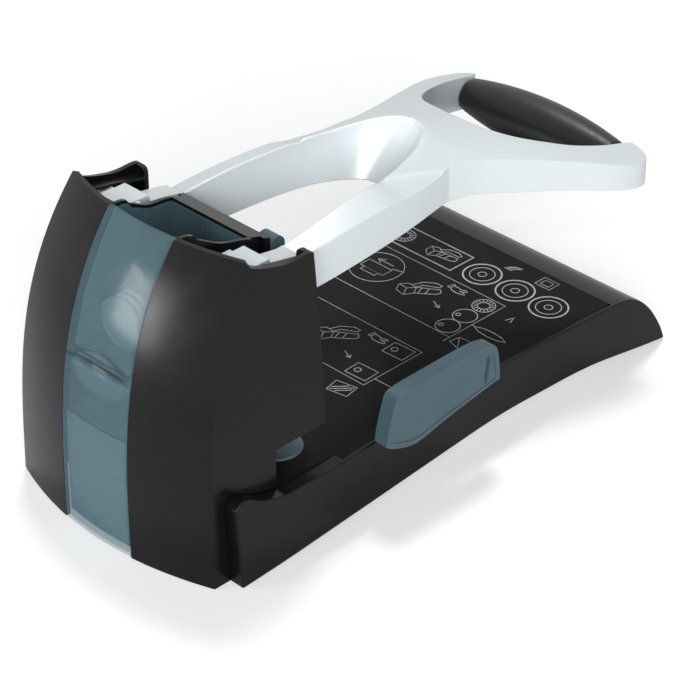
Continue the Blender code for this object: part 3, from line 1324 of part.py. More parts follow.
def pin_slot():
    """Cutter of the slot that lets the cross pin move along the lever as it turns."""
    near = PUNCH_Y - PIVOT_Y
    half = PIN_RADIUS + SLOT_CLEARANCE
    outline = []
    for reach, start in ((PIN_REACH, -math.pi / 2), (near, math.pi / 2)):
        middle_y = PIVOT_Y + reach * math.cos(PIN_ANGLE)
        middle_z = PIVOT_Z + reach * math.sin(PIN_ANGLE)
        for step in range(SMALL_SIDES // 2 + 1):
            angle = PIN_ANGLE + start + math.pi * step / (SMALL_SIDES // 2)
            outline.append((middle_y + half * math.cos(angle), middle_z + half * math.sin(angle)))
    return prism(outline, 0, LEVER_HALF_WIDTH, "X")


def lever_frame():
    """The lever: hubs, links, arms, neck and horns in one moulding, which the hand presses down."""
    shapes = [lever_plate()]
    for side in (1, -1):
        hub = rod(PIVOT, HUB_RADIUS, HUB_INNER_X, HUB_OUTER_X, "X", ROUND_SIDES)
        shapes.append(handed(cut(joined([lever_link(), hub]), [pin_slot()]), side))
    shape = joined(shapes)
    tools = [rod(PIVOT, AXLE_RADIUS + GAP, -LEVER_HALF_WIDTH, LEVER_HALF_WIDTH, "X", ROUND_SIDES)]
    rod_reach = ROD_HALF_LENGTH + GAP
    tools.append(rod(ROD_CENTRE, ROD_RADIUS + GAP, -rod_reach, rod_reach, "X"))
    pocket_end = ARM_INNER_X + LOCK_POCKET_DEPTH
    tools.append(rod(LOCK_CENTRE, LOCK_BOLT_RADIUS + 2 * GAP, LOCK_KNOB_X, pocket_end, "X"))
    place(cut(shape, tools), "lever_frame", "silver_paint", (0, *PIVOT))


def grip():
    """The rubber spindle that the hand holds, thickest in its middle."""
    outer = []
    bore = ROD_RADIUS + GAP
    for step in range(GRIP_STATIONS + 1):
        share = 2 * step / GRIP_STATIONS - 1
        radius = GRIP_RADIUS - (GRIP_RADIUS - GRIP_END_RADIUS) * share**2
        outer.append((GRIP_HALF_LENGTH * share, radius))
    inner = [(GRIP_HALF_LENGTH, bore), (-GRIP_HALF_LENGTH, bore)]
    sides = ROUND_SIDES - 4
    rings = [[on_axis("X", at, pair) for pair in circle(ROD_CENTRE, r, sides)] for at, r in [*outer, *inner]]
    place(lofted(rings, "joined"), "grip", "black_rubber", (0, *PIVOT))


def grip_rod():
    """The steel rod through the grip, held in both horns."""
    bar = rod(ROD_CENTRE, ROD_RADIUS, -ROD_HALF_LENGTH, ROD_HALF_LENGTH, "X")
    place(bar, "grip_rod", "bright_steel", (0, *PIVOT))


def guide_fence():
    """The upright fence beside the base that the paper's side edge is set against."""
    outline = []
    for along, up in fence_shares:
        outline.append((FENCE_FRONT_Y + FENCE_LENGTH * along, FENCE_BOTTOM_Z + FENCE_HEIGHT * up))
    outer_x = FENCE_INNER_X + FENCE_THICKNESS
    body = prism(outline, FENCE_INNER_X, outer_x, "X")
    low = DECK_TOP_Z - RULER_GROOVE_DEPTH
    rear = RULER_FRONT_Y + RULER_WIDTH
    pocket = block(
        (FENCE_INNER_X - OVERRUN, RULER_FRONT_Y - GAP, low),
        (FENCE_INNER_X + FENCE_POCKET, rear + GAP, low + RULER_THICKNESS + 2 * GAP),
    )
    slot = block(
        (outer_x - FENCE_SLOT_DEPTH, FENCE_SLOT_Y, FENCE_SLOT_Z),
        (outer_x + OVERRUN, FENCE_SLOT_Y + FENCE_SLOT_WIDTH, FENCE_SLOT_Z + FENCE_SLOT_HEIGHT),
    )
    place(cut(body, [pocket, slot]), "guide_fence", "slate_plastic")


def guide_ruler():
    """The flat steel bar under the plate that carries the fence."""
    low = DECK_TOP_Z - RULER_GROOVE_DEPTH + GAP
    bar = block(
        (-RULER_LEFT_X, RULER_FRONT_Y, low),
        (FENCE_INNER_X + FENCE_POCKET - GAP, RULER_FRONT_Y + RULER_WIDTH, low + RULER_THICKNESS),
    )
    place(bar, "guide_ruler", "zinc_steel")


def lock_button():
    """The sliding lock: a knob behind the housing, with a bolt that enters the right arm."""
    knob_right = LOCK_KNOB_X + LOCK_KNOB_WIDTH
    rear = HOUSING_REAR_Y + GAP + LOCK_KNOB_DEPTH
    knob_outline = knob_side(HOUSING_REAR_Y + GAP, rear)
    knob = prism(knob_outline, LOCK_KNOB_X, knob_right, "X")
    bolt = rod(LOCK_CENTRE, LOCK_BOLT_RADIUS, knob_right - MERGE, LOCK_BOLT_TIP_X, "X")
    stem_x = LOCK_KNOB_X + GAP
    stem = block(
        (stem_x, HOUSING_REAR_Y - LOCK_STEM_DEPTH, LOCK_Z - LOCK_STEM_HEIGHT / 2),
        (stem_x + LOCK_STEM_WIDTH, HOUSING_REAR_Y + MERGE, LOCK_Z + LOCK_STEM_HEIGHT / 2),
    )
    place(joined([knob, bolt, stem]), "lock_button", "slate_plastic")


def knob_side(front, rear):
    """The lock knob seen along X: a block with a round top."""
    radius = (rear - front) / 2
    steps = SMALL_SIDES // 2
    outline = [(front, LOCK_KNOB_BOTTOM_Z), (rear, LOCK_KNOB_BOTTOM_Z)]
    for step in range(steps + 1):
        angle = math.pi * step / steps
        y = (front + rear) / 2 + radius * math.cos(angle)
        outline.append((y, LOCK_KNOB_TOP_Z - radius + radius * math.sin(angle)))
    return outline


def main():
    """Builds the whole machine."""
    clear_scene()
    machine = bpy.data.objects.new("machine", None)
    bpy.context.scene.collection.objects.link(machine)
    machine.location = (SHIFT_X, SHIFT_Y, 0)
    for make in (base_shell, base_plate, base_pan, feet, screws, centre_housing, storage_box, spare_discs):
        make()
    for make in (chip_drawer, paper_stop, lever_frame, grip, grip_rod, guide_fence, guide_ruler, lock_button):
        make()
    for side in (1, -1):
        for make in (side_cover, rear_cover, punch_frame, axle, axle_clips, cutting_disc, disc_post):
            make(side)
        for make in (guide_bush, chip_chute, punch, yoke, cross_pin, return_spring):
            make(side)


main()
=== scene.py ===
# %% [markdown]
# # A heavy-duty hole punch
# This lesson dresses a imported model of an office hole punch. The frame gives every piece a
# place and a body that it moves with. Each step says what the piece is, how it could be made,
# and why it is made this way. The script is run from top to bottom in Blender.

# %% Load the frame
import json
import math

import bmesh
import bpy
from mathutils import Matrix, Vector
from mathutils.geometry import delaunay_2d_cdt


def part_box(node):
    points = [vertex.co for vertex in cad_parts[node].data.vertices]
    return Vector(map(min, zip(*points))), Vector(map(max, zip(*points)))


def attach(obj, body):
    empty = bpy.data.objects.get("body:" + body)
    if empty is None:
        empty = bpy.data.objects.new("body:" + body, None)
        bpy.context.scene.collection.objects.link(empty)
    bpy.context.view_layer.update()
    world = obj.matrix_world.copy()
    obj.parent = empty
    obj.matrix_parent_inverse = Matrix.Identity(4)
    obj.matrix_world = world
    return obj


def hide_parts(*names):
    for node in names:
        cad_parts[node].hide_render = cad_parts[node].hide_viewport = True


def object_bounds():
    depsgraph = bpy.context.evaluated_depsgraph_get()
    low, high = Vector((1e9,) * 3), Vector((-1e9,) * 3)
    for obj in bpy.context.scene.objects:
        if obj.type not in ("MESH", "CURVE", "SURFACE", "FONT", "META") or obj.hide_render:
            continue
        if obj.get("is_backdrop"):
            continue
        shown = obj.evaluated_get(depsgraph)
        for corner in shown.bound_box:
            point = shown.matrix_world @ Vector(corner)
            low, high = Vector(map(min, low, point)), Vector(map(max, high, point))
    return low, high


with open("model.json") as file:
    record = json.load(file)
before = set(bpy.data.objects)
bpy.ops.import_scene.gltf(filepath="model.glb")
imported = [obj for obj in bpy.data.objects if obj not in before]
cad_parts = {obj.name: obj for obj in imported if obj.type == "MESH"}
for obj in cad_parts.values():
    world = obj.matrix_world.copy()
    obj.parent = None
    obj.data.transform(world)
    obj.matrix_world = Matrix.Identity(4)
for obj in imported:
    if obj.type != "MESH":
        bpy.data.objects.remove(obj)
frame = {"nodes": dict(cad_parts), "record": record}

cad_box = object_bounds()

# %% [markdown]
# The pieces are drawn in the machine's own frame: x = 0 is its middle, y = 0 the front corners
# of its tower. The whole model's origin lies elsewhere, under the middle of everything, so each
# finished mesh is moved once. The move could be typed, but the covers' box gives it exactly.

# %% Where the machine stands
TOWER_HEIGHT = 0.1553
TOWER_REAR = 0.0720
left_cover_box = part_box("left_tower_cover")
right_cover_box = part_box("right_tower_cover")
machine_shift = Vector(
    ((left_cover_box[0].x + right_cover_box[1].x) / 2, right_cover_box[1].y - TOWER_REAR, 0)
)
print("machine's shift, mm:", [round(1000 * v, 2) for v in machine_shift])

# %% [markdown]
# ## Tools for shaping
# Most pieces are walls and blocks with soft edges. A few helpers do all the work. The first
# joins rings of points into a closed skin. A mesh could also be modelled by hand, but rings
# that come from a rule stay even, and a change of one number moves them all.

# %% Skins from rings of points
MERGE_DISTANCE = 0.000002


def shape_of(points, faces):
    """An object with these points and faces, its faces turned outwards."""
    mesh = bpy.data.meshes.new("shape")
    mesh.from_pydata([tuple(point) for point in points], [], faces)
    work = bmesh.new()
    work.from_mesh(mesh)
    bmesh.ops.recalc_face_normals(work, faces=work.faces)
    work.to_mesh(mesh)
    work.free()
    shape = bpy.data.objects.new("shape", mesh)
    bpy.context.scene.collection.objects.link(shape)
    return shape


def skin(rings, ends="capped"):
    """A body through rings of equally many points, with flat ends or with its ends joined."""
    count = len(rings[0])
    faces = []
    for span in range(len(rings) if ends == "joined" else len(rings) - 1):
        here = span * count
        there = (span + 1) % len(rings) * count
        for step in range(count):
            after = (step + 1) % count
            faces.append((here + step, here + after, there + after, there + step))
    if ends == "capped":
        faces += [tuple(range(count)), tuple(range(len(rings) * count - count, len(rings) * count))]
    return shape_of([point for ring in rings for point in ring], faces)


print("skins ready, doubles merged within, mm:", MERGE_DISTANCE * 1000)

# %% [markdown]
# Two kinds of skin come back again and again: an outline drawn out along an axis, as a saw
# cuts plate, and a profile turned about an axis, as a lathe cuts a bar.

# %% Drawn and turned shapes
def on_axis(axis, at, pair):
    """The point at a place along an axis, whose other two places are the pair."""
    first, second = pair
    return {"X": (at, first, second), "Y": (first, at, second), "Z": (first, second, at)}[axis]


def drawn_out(outline, low, high, axis):
    """An outline drawn out along an axis."""
    return skin([[on_axis(axis, at, pair) for pair in outline] for at in (low, high)])


def block(low, high):
    """A box between two corners, used as a cutter or a rough blank."""
    x0, y0, z0 = low
    x1, y1, z1 = high
    return drawn_out([(x0, y0), (x1, y0), (x1, y1), (x0, y1)], z0, z1, "Z")


def turned(stations, centre, axis, sides=48, ends="capped"):
    """A solid turned about an axis, through stations of place and radius."""
    rings = []
    for at, radius in stations:
        angles = [math.tau * step / sides for step in range(sides)]
        ring = [(centre[0] + radius * math.cos(a), centre[1] + radius * math.sin(a)) for a in angles]
        rings.append([on_axis(axis, at, pair) for pair in ring])
    return skin(rings, ends)


print("drawn and turned shapes ready")

# %% [markdown]
# Rooms, holes and slots are cut with the Boolean modifier, which works on whole solids, as a
# mill does. Each result is made a plain mesh at once, and the cutters are thrown away.

# %% Booleans
def baked(shape):
    """The shape with its modifiers made into a plain mesh."""
    graph = bpy.context.evaluated_depsgraph_get()
    mesh = bpy.data.meshes.new_from_object(shape.evaluated_get(graph))
    shape.modifiers.clear()
    shape.data = mesh
    return shape


def combine(shape, others, operation):
    """Joins the others to the shape, or cuts or intersects it with them."""
    for other in others:
        modifier = shape.modifiers.new("shape", "BOOLEAN")
        modifier.operation = operation
        modifier.solver = "EXACT"
        modifier.object = other
    baked(shape)
    for other in others:
        bpy.data.objects.remove(other, do_unlink=True)
    return shape


def carved(shape, cutters):
    return combine(shape, cutters, "DIFFERENCE")


def welded(shapes):
    return combine(shapes[0], shapes[1:], "UNION")


def shared(shape, others):
    return combine(shape, others, "INTERSECT")


print("Booleans ready")

# %% [markdown]
# Moulded plastic and painted metal have no knife edges. The Bevel modifier rounds every edge
# sharper than an angle. A left piece is the mirror image of its right one.

# %% Soft edges and mirror images
def softened(shape, width, segments=3, angle=35, flat=0.5):
    """Rounds the edges sharper than an angle. Faces flat to so many degrees are joined first."""
    work = bmesh.new()
    work.from_mesh(shape.data)
    bmesh.ops.remove_doubles(work, verts=work.verts, dist=MERGE_DISTANCE)
    if flat:
        bmesh.ops.dissolve_limit(
            work, angle_limit=math.radians(flat), verts=work.verts, edges=work.edges
        )
    work.to_mesh(shape.data)
    work.free()
    modifier = shape.modifiers.new("soft edges", "BEVEL")
    modifier.width = width
    modifier.segments = segments
    modifier.limit_method = "ANGLE"
    modifier.angle_limit = math.radians(angle)
    modifier.miter_outer = "MITER_ARC"
    return baked(shape)


def mirrored(shape, side):
    """The shape for side 1, at +X, or its mirror image for side -1."""
    if side < 0:
        shape.data.transform(Matrix.Diagonal((-1, 1, 1, 1)))
        shape.data.flip_normals()
    return shape


print("soft edges ready")

# %% [markdown]
# Curved outlines start as a few points and are smoothed by a spline that passes through each
# of them. The same tables of shares shape the solids, so the dressed pieces keep their places.

# %% Smooth lines and tables
def smooth_line(controls, steps):
    """Points on a smooth curve through the controls, with so many steps between each two."""
    ends = [Vector(p) for p in (controls[0], *controls, controls[-1])]
    points = []
    for index in range(1, len(ends) - 2):
        before, start, stop, after = ends[index - 1:index + 3]
        for step in range(steps):
            t = step / steps
            bend = (stop - before) * t + (2 * before - 5 * start + 4 * stop - after) * t**2
            bend += (3 * start - before - 3 * stop + after) * t**3
            points.append(start + bend / 2)
    points.append(ends[-1])
    return points


def table_at(table, at, column=1):
    """Reads a smooth table of places and values at one place."""
    if at <= table[0][0]:
        return table[0][column]
    for first, second in zip(table, table[1:]):
        if at <= second[0]:
            part = (at - first[0]) / (second[0] - first[0])
            return first[column] + (second[column] - first[column]) * part
    return table[-1][column]


def smooth_table(table, steps=6):
    """A table with more rows, on a smooth curve through the given ones."""
    return [tuple(row) for row in smooth_line(table, steps)]


print("smooth curves ready")

# %% [markdown]
# ## Finishes
# The machine is satin black plastic, painted steel, silver paint, rubber, and slate-blue
# plastic, part of it clear. Each finish starts from one Principled shader. What is the same all
# over is set on the shader itself. What varies comes from noise in object space.

# %% A finish and its noise
def finish(name, colour, roughness, metallic=0.0, specular=0.5, coat=0.0, alpha=1.0):
    """A Principled material with its uniform values set. The frame's own one gives up its name."""
    if name in bpy.data.materials:
        bpy.data.materials[name].name = "plain_" + name
    material = bpy.data.materials.new(name)
    material.use_nodes = True
    shader = material.node_tree.nodes["Principled BSDF"]
    for socket, value in (
        ("Base Color", (*colour, 1)), ("Roughness", roughness), ("Metallic", metallic),
        ("Specular IOR Level", specular), ("Coat Weight", coat), ("Alpha", alpha),
    ):
        shader.inputs[socket].default_value = value
    material.diffuse_color = (*colour, 1)
    return material


def noise(material, scale, detail=3.0, stretch=(1, 1, 1)):
    """A noise texture in object space, stretched along some axes."""
    nodes, links = material.node_tree.nodes, material.node_tree.links
    place = nodes.new("ShaderNodeTexCoord")
    mapping = nodes.new("ShaderNodeMapping")
    mapping.inputs["Scale"].default_value = stretch
    texture = nodes.new("ShaderNodeTexNoise")
    texture.inputs["Scale"].default_value = scale
    texture.inputs["Detail"].default_value = detail
    links.new(place.outputs["Object"], mapping.inputs["Vector"])
    links.new(mapping.outputs["Vector"], texture.inputs["Vector"])
    return texture.outputs["Fac"]


print("finish and noise ready")

# %% [markdown]
# A noise can drive three things: a slow, faint change of tone, a change of gloss, and a fine
# grain in the bump. Painted pictures could do the same, but noise has no seams.

# %% Tone, gloss and grain
def varied(material, source, socket, low, high):
    """Lets a noise drive a value of the shader between two limits."""
    nodes, links = material.node_tree.nodes, material.node_tree.links
    span = nodes.new("ShaderNodeMapRange")
    span.inputs["From Min"].default_value = 0.3
    span.inputs["From Max"].default_value = 0.7
    span.inputs["To Min"].default_value = low
    span.inputs["To Max"].default_value = high
    links.new(source, span.inputs["Value"])
    links.new(span.outputs["Result"], nodes["Principled BSDF"].inputs[socket])


def toned(material, source, dark, light):
    """Lets a noise drive the colour between two near tones."""
    nodes, links = material.node_tree.nodes, material.node_tree.links
    ramp = nodes.new("ShaderNodeValToRGB")
    ramp.color_ramp.elements[0].position = 0.35
    ramp.color_ramp.elements[1].position = 0.65
    ramp.color_ramp.elements[0].color = (*dark, 1)
    ramp.color_ramp.elements[1].color = (*light, 1)
    links.new(source, ramp.inputs["Fac"])
    links.new(ramp.outputs["Color"], nodes["Principled BSDF"].inputs["Base Color"])


def grained(material, source, strength, depth):
    """Lets a noise raise and lower the surface."""
    nodes, links = material.node_tree.nodes, material.node_tree.links
    bump = nodes.new("ShaderNodeBump")
    bump.inputs["Strength"].default_value = strength
    bump.inputs["Distance"].default_value = depth
    links.new(source, bump.inputs["Height"])
    links.new(bump.outputs["Normal"], nodes["Principled BSDF"].inputs["Normal"])


print("tone, gloss and grain ready")

# %% [markdown]
# The black casing is a satin moulding. Up close it has a spark-eroded grain of about a third of
# a millimetre, too fine to see from a step away, which only widens its highlights. The base
# and the tower share it. The printed plate is steel under a smoother black paint.

# %% Black finishes
black_plastic = finish("black_plastic", (0.0046, 0.0044, 0.0049), 0.25, specular=0.19)
toned(black_plastic, noise(black_plastic, 14), (0.0042, 0.0040, 0.0045), (0.0050, 0.0048, 0.0053))
varied(black_plastic, noise(black_plastic, 90), "Roughness", 0.22, 0.28)
grained(black_plastic, noise(black_plastic, 3200, 2), 0.10, 0.00004)

black_steel = finish("black_steel", (0.0050, 0.0045, 0.0045), 0.36, 0.0, 0.055)
toned(black_steel, noise(black_steel, 20), (0.0046, 0.0041, 0.0041), (0.0056, 0.0050, 0.0050))
varied(black_steel, noise(black_steel, 160), "Roughness", 0.33, 0.41)
grained(black_steel, noise(black_steel, 1500, 2), 0.08, 0.00005)

black_rubber = finish("black_rubber", (0.0066, 0.0066, 0.0071), 0.38, specular=0.30)
toned(black_rubber, noise(black_rubber, 40), (0.0058, 0.0058, 0.0063), (0.0076, 0.0076, 0.0081))
varied(black_rubber, noise(black_rubber, 220), "Roughness", 0.36, 0.45)
grained(black_rubber, noise(black_rubber, 2300, 3), 0.15, 0.00005)
print("black finishes:", black_plastic.name, black_steel.name, black_rubber.name)

# %% [markdown]
# The handle is painted a pale, slightly blue silver with fine flakes. The guide and the discs
# are slate-blue plastic, and the window is the same blue but clear, so that what lies behind
# shows faintly through it.

# %% Silver and slate finishes
silver_paint = finish("silver_paint", (0.640, 0.688, 0.712), 0.36, 0.12, 0.5, coat=0.15)
toned(silver_paint, noise(silver_paint, 5200, 1), (0.615, 0.662, 0.687), (0.665, 0.714, 0.737))
varied(silver_paint, noise(silver_paint, 60), "Roughness", 0.31, 0.38)
grained(silver_paint, noise(silver_paint, 1300, 2), 0.06, 0.00004)

slate_plastic = finish("slate_plastic", (0.056, 0.098, 0.118), 0.34, specular=0.24)
toned(slate_plastic, noise(slate_plastic, 30), (0.052, 0.092, 0.111), (0.061, 0.105, 0.126))
varied(slate_plastic, noise(slate_plastic, 120), "Roughness", 0.32, 0.41)
grained(slate_plastic, noise(slate_plastic, 2600, 2), 0.10, 0.00004)

clear_slate = finish("clear_slate", (0.128, 0.226, 0.268), 0.10, specular=0.36, alpha=0.25)
toned(clear_slate, noise(clear_slate, 24), (0.123, 0.218, 0.259), (0.134, 0.235, 0.278))
varied(clear_slate, noise(clear_slate, 70), "Roughness", 0.10, 0.17)
grained(clear_slate, noise(clear_slate, 25, 1), 0.02, 0.00002)
print("pale and blue finishes:", silver_paint.name, slate_plastic.name, clear_slate.name)

# %% [markdown]
# The working parts are bare metal. Rolled zinc-plated steel shows faint streaks along one way,
# ground pins show finer ones round them, and brass is warmer. Streaks are noise that is
# stretched far along one axis.

# %% Metal finishes
zinc_steel = finish("zinc_steel", (0.47, 0.48, 0.49), 0.34, 0.9)
toned(zinc_steel, noise(zinc_steel, 60, 4, (1, 1, 9)), (0.40, 0.41, 0.42), (0.54, 0.55, 0.56))
varied(zinc_steel, noise(zinc_steel, 500, 3, (1, 1, 9)), "Roughness", 0.27, 0.42)
grained(zinc_steel, noise(zinc_steel, 900, 2, (1, 1, 7)), 0.10, 0.00003)

bright_steel = finish("bright_steel", (0.62, 0.62, 0.63), 0.19, 1.0)
toned(bright_steel, noise(bright_steel, 90, 3, (12, 1, 1)), (0.56, 0.56, 0.57), (0.68, 0.68, 0.69))
varied(bright_steel, noise(bright_steel, 800, 3, (12, 1, 1)), "Roughness", 0.15, 0.25)
grained(bright_steel, noise(bright_steel, 1400, 2, (9, 1, 1)), 0.06, 0.00002)

brass = finish("brass", (0.60, 0.43, 0.18), 0.28, 1.0)
toned(brass, noise(brass, 120, 3), (0.54, 0.38, 0.15), (0.66, 0.48, 0.22))
varied(brass, noise(brass, 600, 3), "Roughness", 0.23, 0.34)
grained(brass, noise(brass, 1500, 2), 0.06, 0.00002)

printing = finish("pale_printing", (0.42, 0.43, 0.44), 0.55, specular=0.3)
toned(printing, noise(printing, 700, 3), (0.36, 0.37, 0.38), (0.48, 0.49, 0.50))
varied(printing, noise(printing, 900), "Roughness", 0.48, 0.62)
grained(printing, noise(printing, 2500, 2), 0.05, 0.00002)
finishes = {m.name: m for m in (
    black_plastic, black_steel, black_rubber, silver_paint, slate_plastic, clear_slate,
    zinc_steel, bright_steel, brass,
)}
print("finishes:", ", ".join(finishes))

# %% [markdown]
# Every solid of the frame that stays visible gets the finish of the slot that the record gives
# it. The list is read from the record, so that no name is forgotten.

# %% Finishes on the frame's own solids
def dress(node_name, finish_name):
    """Gives a solid of the frame a finish."""
    mesh = frame["nodes"][node_name].data
    mesh.materials.clear()
    mesh.materials.append(finishes[finish_name])


for subpart in frame["record"]["subparts"]:
    dress(subpart["node"], subpart["material_slot"])

# %% [markdown]
# A finished piece needs the same few things each time: its doubles merged and its small gaps
# closed, its mesh moved home, a finish, smooth shading with sharp edges kept, a body to ride
# on, and the solids that it stands for hidden. Weighted normals let the large faces set the
# shading, so long thin faces leave no streaks. One helper does all of it.

# %% Handing a piece over
SHARP_ANGLE = 32


def settle(shape, name, body, slot_name, *solids, finish_now=None, smooth=SHARP_ANGLE):
    """Closes, names and finishes a piece, moves its mesh home, sets it on its body and hides the solids
    that it stands for.
    """
    work = bmesh.new()
    work.from_mesh(shape.data)
    bmesh.ops.remove_doubles(work, verts=work.verts, dist=MERGE_DISTANCE)
    gaps = [edge for edge in work.edges if edge.is_boundary]
    for face in bmesh.ops.holes_fill(work, edges=gaps, sides=0)["faces"]:
        if face.loops[0].link_loop_radial_next.vert == face.loops[0].vert:
            face.normal_flip()
    work.to_mesh(shape.data)
    work.free()
    shape.data.transform(Matrix.Translation(machine_shift))
    shape.data.materials.clear()
    shape.data.materials.append(finish_now or finishes[slot_name])
    shape.data.shade_smooth()
    shape.data.set_sharp_from_angle(angle=math.radians(smooth))
    modifier = shape.modifiers.new("even shading", "WEIGHTED_NORMAL")
    modifier.keep_sharp = True
    baked(shape)
    shape.name = name
    shape.data.name = name
    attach(shape, body)
    if solids:
        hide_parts(*solids)
    triangles = sum(len(face.vertices) - 2 for face in shape.data.polygons)
    print(f"{name}: {triangles} triangles")
    return shape


print("edges stay sharp from, degrees:", SHARP_ANGLE)

# %% [markdown]
# ## Camera, light and floor
# The camera stands in front of the machine and to its right, a little over one metre away and
# 33 degrees up, with a long lens.

# %% The camera
camera_data = bpy.data.cameras.new("camera")
camera_data.lens = 135.16
camera_data.sensor_width = 36
camera = bpy.data.objects.new("camera", camera_data)
camera.location = (0.77055, -0.76655, 0.73720)
camera.rotation_euler = (math.radians(90 - 32.9458), 0, math.radians(45.0446))
bpy.context.scene.collection.objects.link(camera)
bpy.context.scene.camera = camera
bpy.context.scene.view_settings.view_transform = "Standard"
print("camera's distance, m:", round(camera.location.length, 3))


# %% [markdown]
# The light is a studio's. A soft lamp high behind the left shoulder of the machine throws its
# shadow towards the camera. A broad lower lamp beside the camera lights the upright faces, and
# a low one before the tower gives its front a soft highlight. Each lamp is a square panel.

# %% The lamps
def soft_lamp(name, place, target, size, watts):
    """A square lamp that faces a point."""
    data = bpy.data.lights.new(name, "AREA")
    data.size = size
    data.energy = watts
    lamp = bpy.data.objects.new(name, data)
    lamp.location = place
    aim = Vector(target) - Vector(place)
    lamp.rotation_euler = aim.to_track_quat("-Z", "Y").to_euler()
    bpy.context.scene.collection.objects.link(lamp)
    return lamp


middle = (0, 0, 0.06)
soft_lamp("key_lamp", (-1.00, 1.08, 3.36), middle, 0.74, 63.0)
soft_lamp("low_lamp", (2.52, -2.28, 1.53), middle, 2.10, 166.0)
soft_lamp("front_lamp", (-1.16, -2.20, 0.40), (0, 0, 0.10), 0.80, 32.0)

# %% [markdown]
# The room is white to the eye and in reflections, but it lights the machine with much less
# than that, so the shadows keep their depth.

# %% The room
world = bpy.data.worlds.new("room")
bpy.context.scene.world = world
world.use_nodes = True
room_nodes, room_links = world.node_tree.nodes, world.node_tree.links
room_nodes.clear()
ray = room_nodes.new("ShaderNodeLightPath")
sees_white = room_nodes.new("ShaderNodeMath")
sees_white.operation = "MAXIMUM"
sees_white_too = room_nodes.new("ShaderNodeMath")
sees_white_too.operation = "MAXIMUM"
room_links.new(ray.outputs["Is Camera Ray"], sees_white.inputs[0])
room_links.new(ray.outputs["Is Glossy Ray"], sees_white.inputs[1])
room_links.new(sees_white.outputs[0], sees_white_too.inputs[0])
room_links.new(ray.outputs["Is Transmission Ray"], sees_white_too.inputs[1])
lighting = room_nodes.new("ShaderNodeBackground")
lighting.inputs["Color"].default_value = (0.93, 0.97, 1.0, 1)
lighting.inputs["Strength"].default_value = 0.08
backdrop = room_nodes.new("ShaderNodeBackground")
backdrop.inputs["Color"].default_value = (1, 1, 1, 1)
backdrop.inputs["Strength"].default_value = 1.0
chosen = room_nodes.new("ShaderNodeMixShader")
room_out = room_nodes.new("ShaderNodeOutputWorld")
room_links.new(sees_white_too.outputs[0], chosen.inputs["Fac"])
room_links.new(lighting.outputs[0], chosen.inputs[1])
room_links.new(backdrop.outputs[0], chosen.inputs[2])
room_links.new(chosen.outputs[0], room_out.inputs["Surface"])
print("room's light:", round(lighting.inputs["Strength"].default_value, 2))

# %% [markdown]
# The floor is a plain pale sheet that takes the machine's shadow. It glows a little, to the eye
# alone, so that it meets the white room without an edge.

# %% The floor
pale_floor = bpy.data.materials.new("pale_floor")
pale_floor.use_nodes = True
floor_nodes, floor_links = pale_floor.node_tree.nodes, pale_floor.node_tree.links
floor_nodes.clear()
matt = floor_nodes.new("ShaderNodeBsdfDiffuse")
matt.inputs["Color"].default_value = (0.80, 0.80, 0.80, 1)
glow = floor_nodes.new("ShaderNodeEmission")
glow.inputs["Color"].default_value = (1, 1, 1, 1)
glow.inputs["Strength"].default_value = 0.29
both = floor_nodes.new("ShaderNodeAddShader")
to_camera = floor_nodes.new("ShaderNodeMixShader")
floor_ray = floor_nodes.new("ShaderNodeLightPath")
floor_out = floor_nodes.new("ShaderNodeOutputMaterial")
floor_links.new(matt.outputs[0], both.inputs[0])
floor_links.new(glow.outputs[0], both.inputs[1])
floor_links.new(floor_ray.outputs["Is Camera Ray"], to_camera.inputs["Fac"])
floor_links.new(matt.outputs[0], to_camera.inputs[1])
floor_links.new(both.outputs[0], to_camera.inputs[2])
floor_links.new(to_camera.outputs[0], floor_out.inputs["Surface"])

floor = shape_of([(-1, -1, 0), (1, -1, 0), (1, 1, 0), (-1, 1, 0)], [(0, 1, 2, 3)])
floor.name = "floor"
floor.data.materials.append(pale_floor)
floor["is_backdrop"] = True
print("floor ready, glow:", round(glow.inputs["Strength"].default_value, 2))

# %% [markdown]
# ## The tower
# The tower's front bows forward from side to side and leans back towards the top, faster and
# faster. One rule gives that surface: a height to a power for the lean, and a square across the
# width for the bow. The covers, the window and the drawer's front all lie on it, so their seams
# stay even. It could also be sculpted, but then the seams would have to be fitted by hand.

# %% The rule of the tower's front and sides
TOWER_HALF = 0.0675
FRONT_BOW = 0.0129


def rise(z):
    return max(z, 0) / TOWER_HEIGHT


def side_at(z):
    """Half width of the tower at a height."""
    return TOWER_HALF - 0.0097 * rise(z) ** 2


def seam_at(z):
    """Half width of the clear strip at a height."""
    return 0.0229 - 0.0011 * rise(z)


def front_at(x, z):
    """How far back the front surface lies."""
    bow = FRONT_BOW + 0.0031 * rise(z)
    return 0.0346 * rise(z) ** 3.4 - FRONT_BOW + bow * (x / TOWER_HALF) ** 2


print("front leans back at the top by, mm:", round(1000 * (front_at(0, TOWER_HEIGHT) + FRONT_BOW), 1))

# %% [markdown]
# Each side cover is one thin moulding that wraps round the corner. Its top edge is a saddle.
# The piece is a loft: columns run along the front and then along the side, and each column is a
# loop up the outside and down the inside. A Boolean takes away the throat, and a bevel rounds
# the edges, which is what catches the light along the top.

# %% A cover's surface
SEAM = 0.0003
WALL = 0.0025
THROAT_TOP = 0.0570
FRONT_COLUMNS = 18
cover_top = smooth_table((
    (0.00, 0.9955), (0.08, 0.9800), (0.17, 0.9678), (0.35, 0.9520), (0.48, 0.9430), (0.61, 0.9345),
    (0.74, 0.9310), (0.86, 0.9325), (0.95, 0.9325), (1.00, 0.9285),
), 3)


def cover_top_at(column):
    if column < 1:
        return TOWER_HEIGHT * (1 + (cover_top[0][1] - 1) * column)
    return TOWER_HEIGHT * table_at(cover_top, column - 1)


